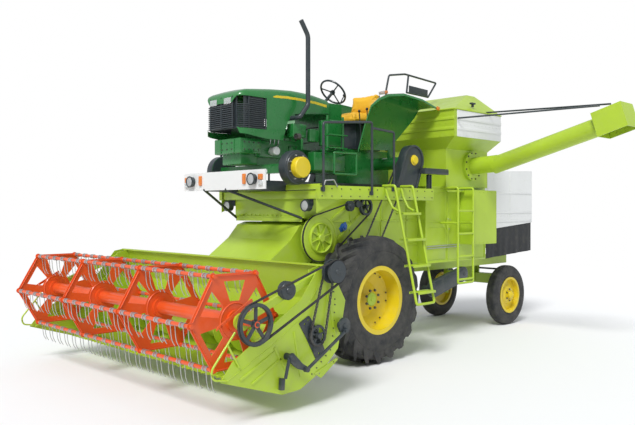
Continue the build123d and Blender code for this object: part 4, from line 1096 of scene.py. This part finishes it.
# Body side. Pressed panels, angle strips, an oval cover and a small shelf on the wide walls
# of the threshing body.
panels = [((723, 1585, 1290), (8, 410, 420)), ((723, 1585, 1765), (8, 410, 390)),
          ((723, 2120, 1525), (8, 20, 930)), ((758, 1935, 1997), (76, 390, 5)),
          ((794, 1935, 1984), (5, 390, 28))]
panels += [((722, y, 1530), (16, 26, 960)) for y in (1366, 1850, 2760)]
panels += [((722, 2060, z), (14, 1400, 26)) for z in (1042, 2030)]
panels += [strut(606, low, high, 44, 12) for low, high in (
    ((-260, 1605), (85, 1828)), ((-200, 1351), (320, 1737)))]
panels += [((604, 560, z), (10, 1560, 24)) for z in (1048, 1290, 1600)]
panels += [((604, y, 1430), (10, 24, 800)) for y in (60, 620, 1120)]
bevelled("body_panels", both_sides(panels), lime)
cut_plates("oval_cover", [(728, 736, [(1863 + 55 * u, 1551 + 105 * v)
                                      for u, v in around(0, 0, 1, range(0, 360, 12))], [])],
           lime, edge=3)
bolt_rows("oval_cover_bolts", [((737, *spot), (737, *spot), 1, LEFT) for spot in (
    (1840, 1610), (1890, 1600), (1863, 1475))], bright, "chassis", 9, 6)
tubes("wall_rods", [[(732, 1380, 1255), (732, 2120, 1262)],
                    [(735, 1380, 1225), (735, 2120, 1236)]], 6, bright, "chassis", 2)

# Exhaust. A bent pipe out of the bonnet's side, up beside it and forward at its open end.
# A flange closes it on the bonnet's side.
pipe_piece = tubes("exhaust_pipe", [bent([
    (170, -640, 2777), (452, -610, 2777), (450, -480, 2930), (450, -480, 3720),
    (450, -590, 3876)], 80)], 27, slate, "chassis", 6)
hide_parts("exhaust")
turned("exhaust_flange", [(-640, 2777, [(176, 27), (176, 46), (190, 46), (192, 27)])], slate)

# Tractor's left side. A green square step frame stands on the deck, and plain green housings
# stand beside the engine.
tubes("step_frame", [
    bent([(600, -205, 2150), (600, -205, 2400), (600, 170, 2400), (600, 170, 2150),
          (600, -200, 2150)], 24),
    [(600, -205, 2400), (330, -205, 2400)], [(600, 170, 2400), (330, 170, 2400)]], 14, green)
bevelled("engine_box", [
    ((345, -20, 2640), (70, 330, 300)), ((345, -300, 2600), (60, 150, 150)),
    ((330, -60, 2300), (120, 520, 220)), ((300, -520, 2640), (120, 200, 160))],
    green, edge=14, segments=3)

# Front board lamps. An amber block beside each round lamp and one at each end of the board,
# above a clear block.
turned("board_lamp_cases", [(x, 2055, [
    (-1360, 0), (-1360, 54), (-1398, 60), (-1404, 60), (-1404, 0)]) for x in (560, -560)],
    slate, steps=40, axis="y")
bevelled("board_amber_lamps", both_sides([
    ((400, -1366, 2062), (46, 26, 110)), ((672, -1366, 2076), (62, 26, 60))]),
    amber, "chassis", 6, 3, "dark_paint")
bevelled("board_clear_lamps", both_sides([((672, -1366, 2014), (62, 26, 52))]),
         glass, "chassis", 6, 3, "dark_paint")

# Drive tyres. Deep-lugged tractor tyres: a smooth carcass, and curved lugs that run in two
# rows from the middle of the tread over the shoulders.
CARCASS = [(190, 385), (204, 420), (216, 500), (213, 592), (190, 652), (120, 674), (0, 683)]
CARCASS += [(-x, radius) for x, radius in reversed(CARCASS[:-1])]
CARCASS += [(-186, 385), (186, 385), CARCASS[0]]
LUGS, LUG_TAPER = 20, 0.78
LUG_PATH = [
    # x from the middle, degrees round, base and top radius, half width
    (-10, 0, 670, 721, 21), (60, 5, 668, 721, 19), (130, 12, 662, 719, 20),
    (182, 19, 648, 706, 23), (211, 25, 600, 664, 26), (216.5, 30, 556, 604, 20),
]
for label, side in SIDES:
    body = f"drive_wheel_{label}"
    tyre = turned(f"drive_carcass_{label}", [(*DRIVE, outline(CARCASS, DRIVE_X, side))],
                  rubber, body, 120, 50)
    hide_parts(f"drive_tyre_{label}")
    form = bmesh.new()
    for row, count in [(row, count) for row in (1, -1) for count in range(LUGS)]:
        middle = 360 / LUGS * (count + (0.5 if row < 0 else 0))
        sections = []
        for x, shift, base, top, half in LUG_PATH:
            section = []
            for radius, reach in ((base, half), (base, -half), (top, -half * LUG_TAPER),
                                  (top, half * LUG_TAPER)):
                turn = middle - shift + math.degrees(reach / radius)
                section.append((side * (DRIVE_X + row * x), *around(*DRIVE, radius, [turn])[0]))
            sections.append(corners_at(form, section))
        loft(form, sections)
    finish_form(f"drive_lugs_{label}", form, rubber, body, 40)

# Bats. Orange tubes with pairs of galvanised spring tines, each coiled round the tube and
# clamped to it, so they hang at every turn of the reel.
BAY, TUBE_END, TUBE_RADIUS = 1124, 1716, 17
for number, (y, z) in enumerate(around(*REEL, REEL_RADIUS, range(0, 360, 60)), 1):
    body = f"reel_bat_{number}"
    tube = turned(f"bat_tube_{number}", [(y, z, [
        (-TUBE_END, 0), (-TUBE_END, TUBE_RADIUS), (TUBE_END, TUBE_RADIUS), (TUBE_END, 0)])],
        orange, body, 20)
    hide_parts(body)
    wires, coils = [], []
    for middle in [-1686 + BAY * (bay + (count + 0.5) / 6) for bay in range(3)
                   for count in range(6)]:
        for pair in (-1, 1):
            x = middle + pair * 34
            wires.append([(x, y + 19, z), (x, y + 24, z - 40), (x, y + 30, z - 120),
                          (x, y + 44, z - 170), (x, y + 66, z - 200)])
            coils.append((y, z, [(x - pair * along, radius) for along, radius in (
                (2, 17), (2, 24), (18, 24), (18, 17))]))
        coils.append((y, z, outline([(-6, 17), (-6, 21), (6, 21), (6, 17)], middle)))
    tubes(f"bat_tines_{number}", wires, 3.6, bright, body, 1)
    turned(f"bat_coils_{number}", coils, bright, body, 12)

# Knife guards. Forged pointed fingers along the cutter bar.
# Each tapers forward from its root to a blunt tip.
GUARD_SECTIONS = ((-2112, 17, 214, 242), (-2150, 15, 214, 246), (-2200, 10, 216, 238),
                  (-2236, 4, 220, 230))  # y, half width, low and top
form = bmesh.new()
for x in range(-1794, 1795, 78):
    loft(form, [corners_at(form, [
        (x - half, y, low), (x + half, y, low), (x + half * 0.7, y, top),
        (x - half * 0.7, y, top)]) for y, half, low, top in GUARD_SECTIONS])
finish_form("knife_guards", form, lime, "header", 50)

# Rear hood. Pressed ridges, a seam and a frame strip on the white sheets, and a hung rubber
# curtain with loose folds round its open rear.
bevelled("hood_ridges", both_sides(
    [((603, 3650, z), (10, 1300, 26)) for z in (1690, 1990)]
    + [((603, y, 1950), (6, 8, 760)) for y in (3020, 3660)] + [((604, 3650, 1560), (8, 1330, 30))])
    + [((0, 4333, z), (1160, 8, 26)) for z in (1690, 1990)], white)
HANG_TOP, HANG_STEP, DROP_STEPS = 1566, 14, 16
hang = []
hood = [(590, 3004), (590, 4310), (-590, 4310), (-590, 3004)]
for start, end in zip(hood, hood[1:]):
    start, run = Vector(start), Vector(end) - Vector(start)
    across = Vector((run.y, -run.x)).normalized()
    for step in range(int(run.length // HANG_STEP)):
        share = step * HANG_STEP / run.length
        hang.append((start + run * share, across, min(1, share * 12, (1 - share) * 12)))
form = bmesh.new()
columns = []
for spot, (top, across, room) in enumerate(hang):
    low = 1012 + 70 * max(0, top.y - 3000) / 1310
    column = []
    for step in range(DROP_STEPS + 1):
        drop = step / DROP_STEPS
        fold = math.sin(spot / 4.1 + 0.7 * math.sin(spot / 9.0)) + 0.5 * math.sin(spot / 1.9 + drop)
        column.append((*top + across * (8.5 * room * drop ** 0.7 * fold),
                       HANG_TOP + (low - HANG_TOP) * drop))
    columns.append(corners_at(form, column))
loft(form, columns, caps=False, closed=False)
curtain_piece = finish_form("curtain_sheet", form, curtain_rubber, crease=60, thick=0.003)
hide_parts("hood_curtain")

# Front casting. A green bracket under the bonnet's nose carries the front axle's pivot.
# It is bolted through its sides and its front.
casting_piece = bevelled("front_casting", [
    ((0, -1140, 2436), (470, 300, 168)), ((0, -1110, 2310), (330, 240, 150)),
    ((0, -875, 2420), (360, 300, 190)), ((0, -640, 2400), (330, 260, 150))]
    + both_sides([((238, -1140, 2436), (12, 240, 120)), ((120, -1292, 2436), (30, 14, 150))]),
    green, edge=10, segments=3)
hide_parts("grille")
bolt_rows("casting_bolts", [((side * 244, -1240, z), (side * 244, -1040, z), 4, (side, 0, 0))
                            for side in (1, -1) for z in (2396, 2476)]
          + [((-90, -1291, z), (90, -1291, z), 3, FRONT) for z in (2400, 2470)],
          oily, "chassis", 9, 7)

# Final drive chains. Roller chains run from the sprockets under the guards down to the drive
# axle on both sides.
for label, side in SIDES:
    roller_chain(f"final_chain_{label}", side * 662,
                 loop_points([(*HUB, 118), (*DRIVE, 128)]), "chassis", 38.1)
sprockets = turned("axle_sprockets", [(*DRIVE, outline([
    (650, 66), (650, 116), (656, 122), (668, 122), (674, 116), (674, 66), (650, 66)], 0, side))
    for side in (1, -1)], oily)
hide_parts("drive_chains")

# Reel spiders. Each pressed sheet has a folded rim along its six edges and a raised ring
# round its boss.
SPIDERS, RIM_ROOM = (-1686, -562, 562, 1686), 34
spots = [Vector(spot) for spot in around(*REEL, REEL_RADIUS + 2, range(0, 360, 60))]
rims = []
for start, end in zip(spots, spots[1:] + spots[:1]):
    inset = (end - start).normalized() * RIM_ROOM
    rims += [strut(x, start + inset, end - inset, 5, 34) for x in SPIDERS]
bevelled("spider_rims", rims, orange, "reel", 2, 1)
turned("spider_rings", [(*REEL, [(x + face * 3, 138), (x + face * 10, 145), (x + face * 3, 152)])
                        for x in SPIDERS for face in (1, -1)], orange, "reel")

# Reel arm bracket. An orange slotted strip carries the reel's bearing on each arm.
# Four holes let the reel be set forward or back.
cut_plates("arm_brackets", [(side * 1806, side * 1814, rounded([
    (-2756, 790), (-2744, 822), (-2401, 1018), (-2388, 990)], 8),
    [round_hole(y, z, 7, 12) for y, z in ((-2700, 829), (-2640, 862), (-2540, 918), (-2470, 958))])
    for side in (1, -1)], orange, "reel_arms", 1)
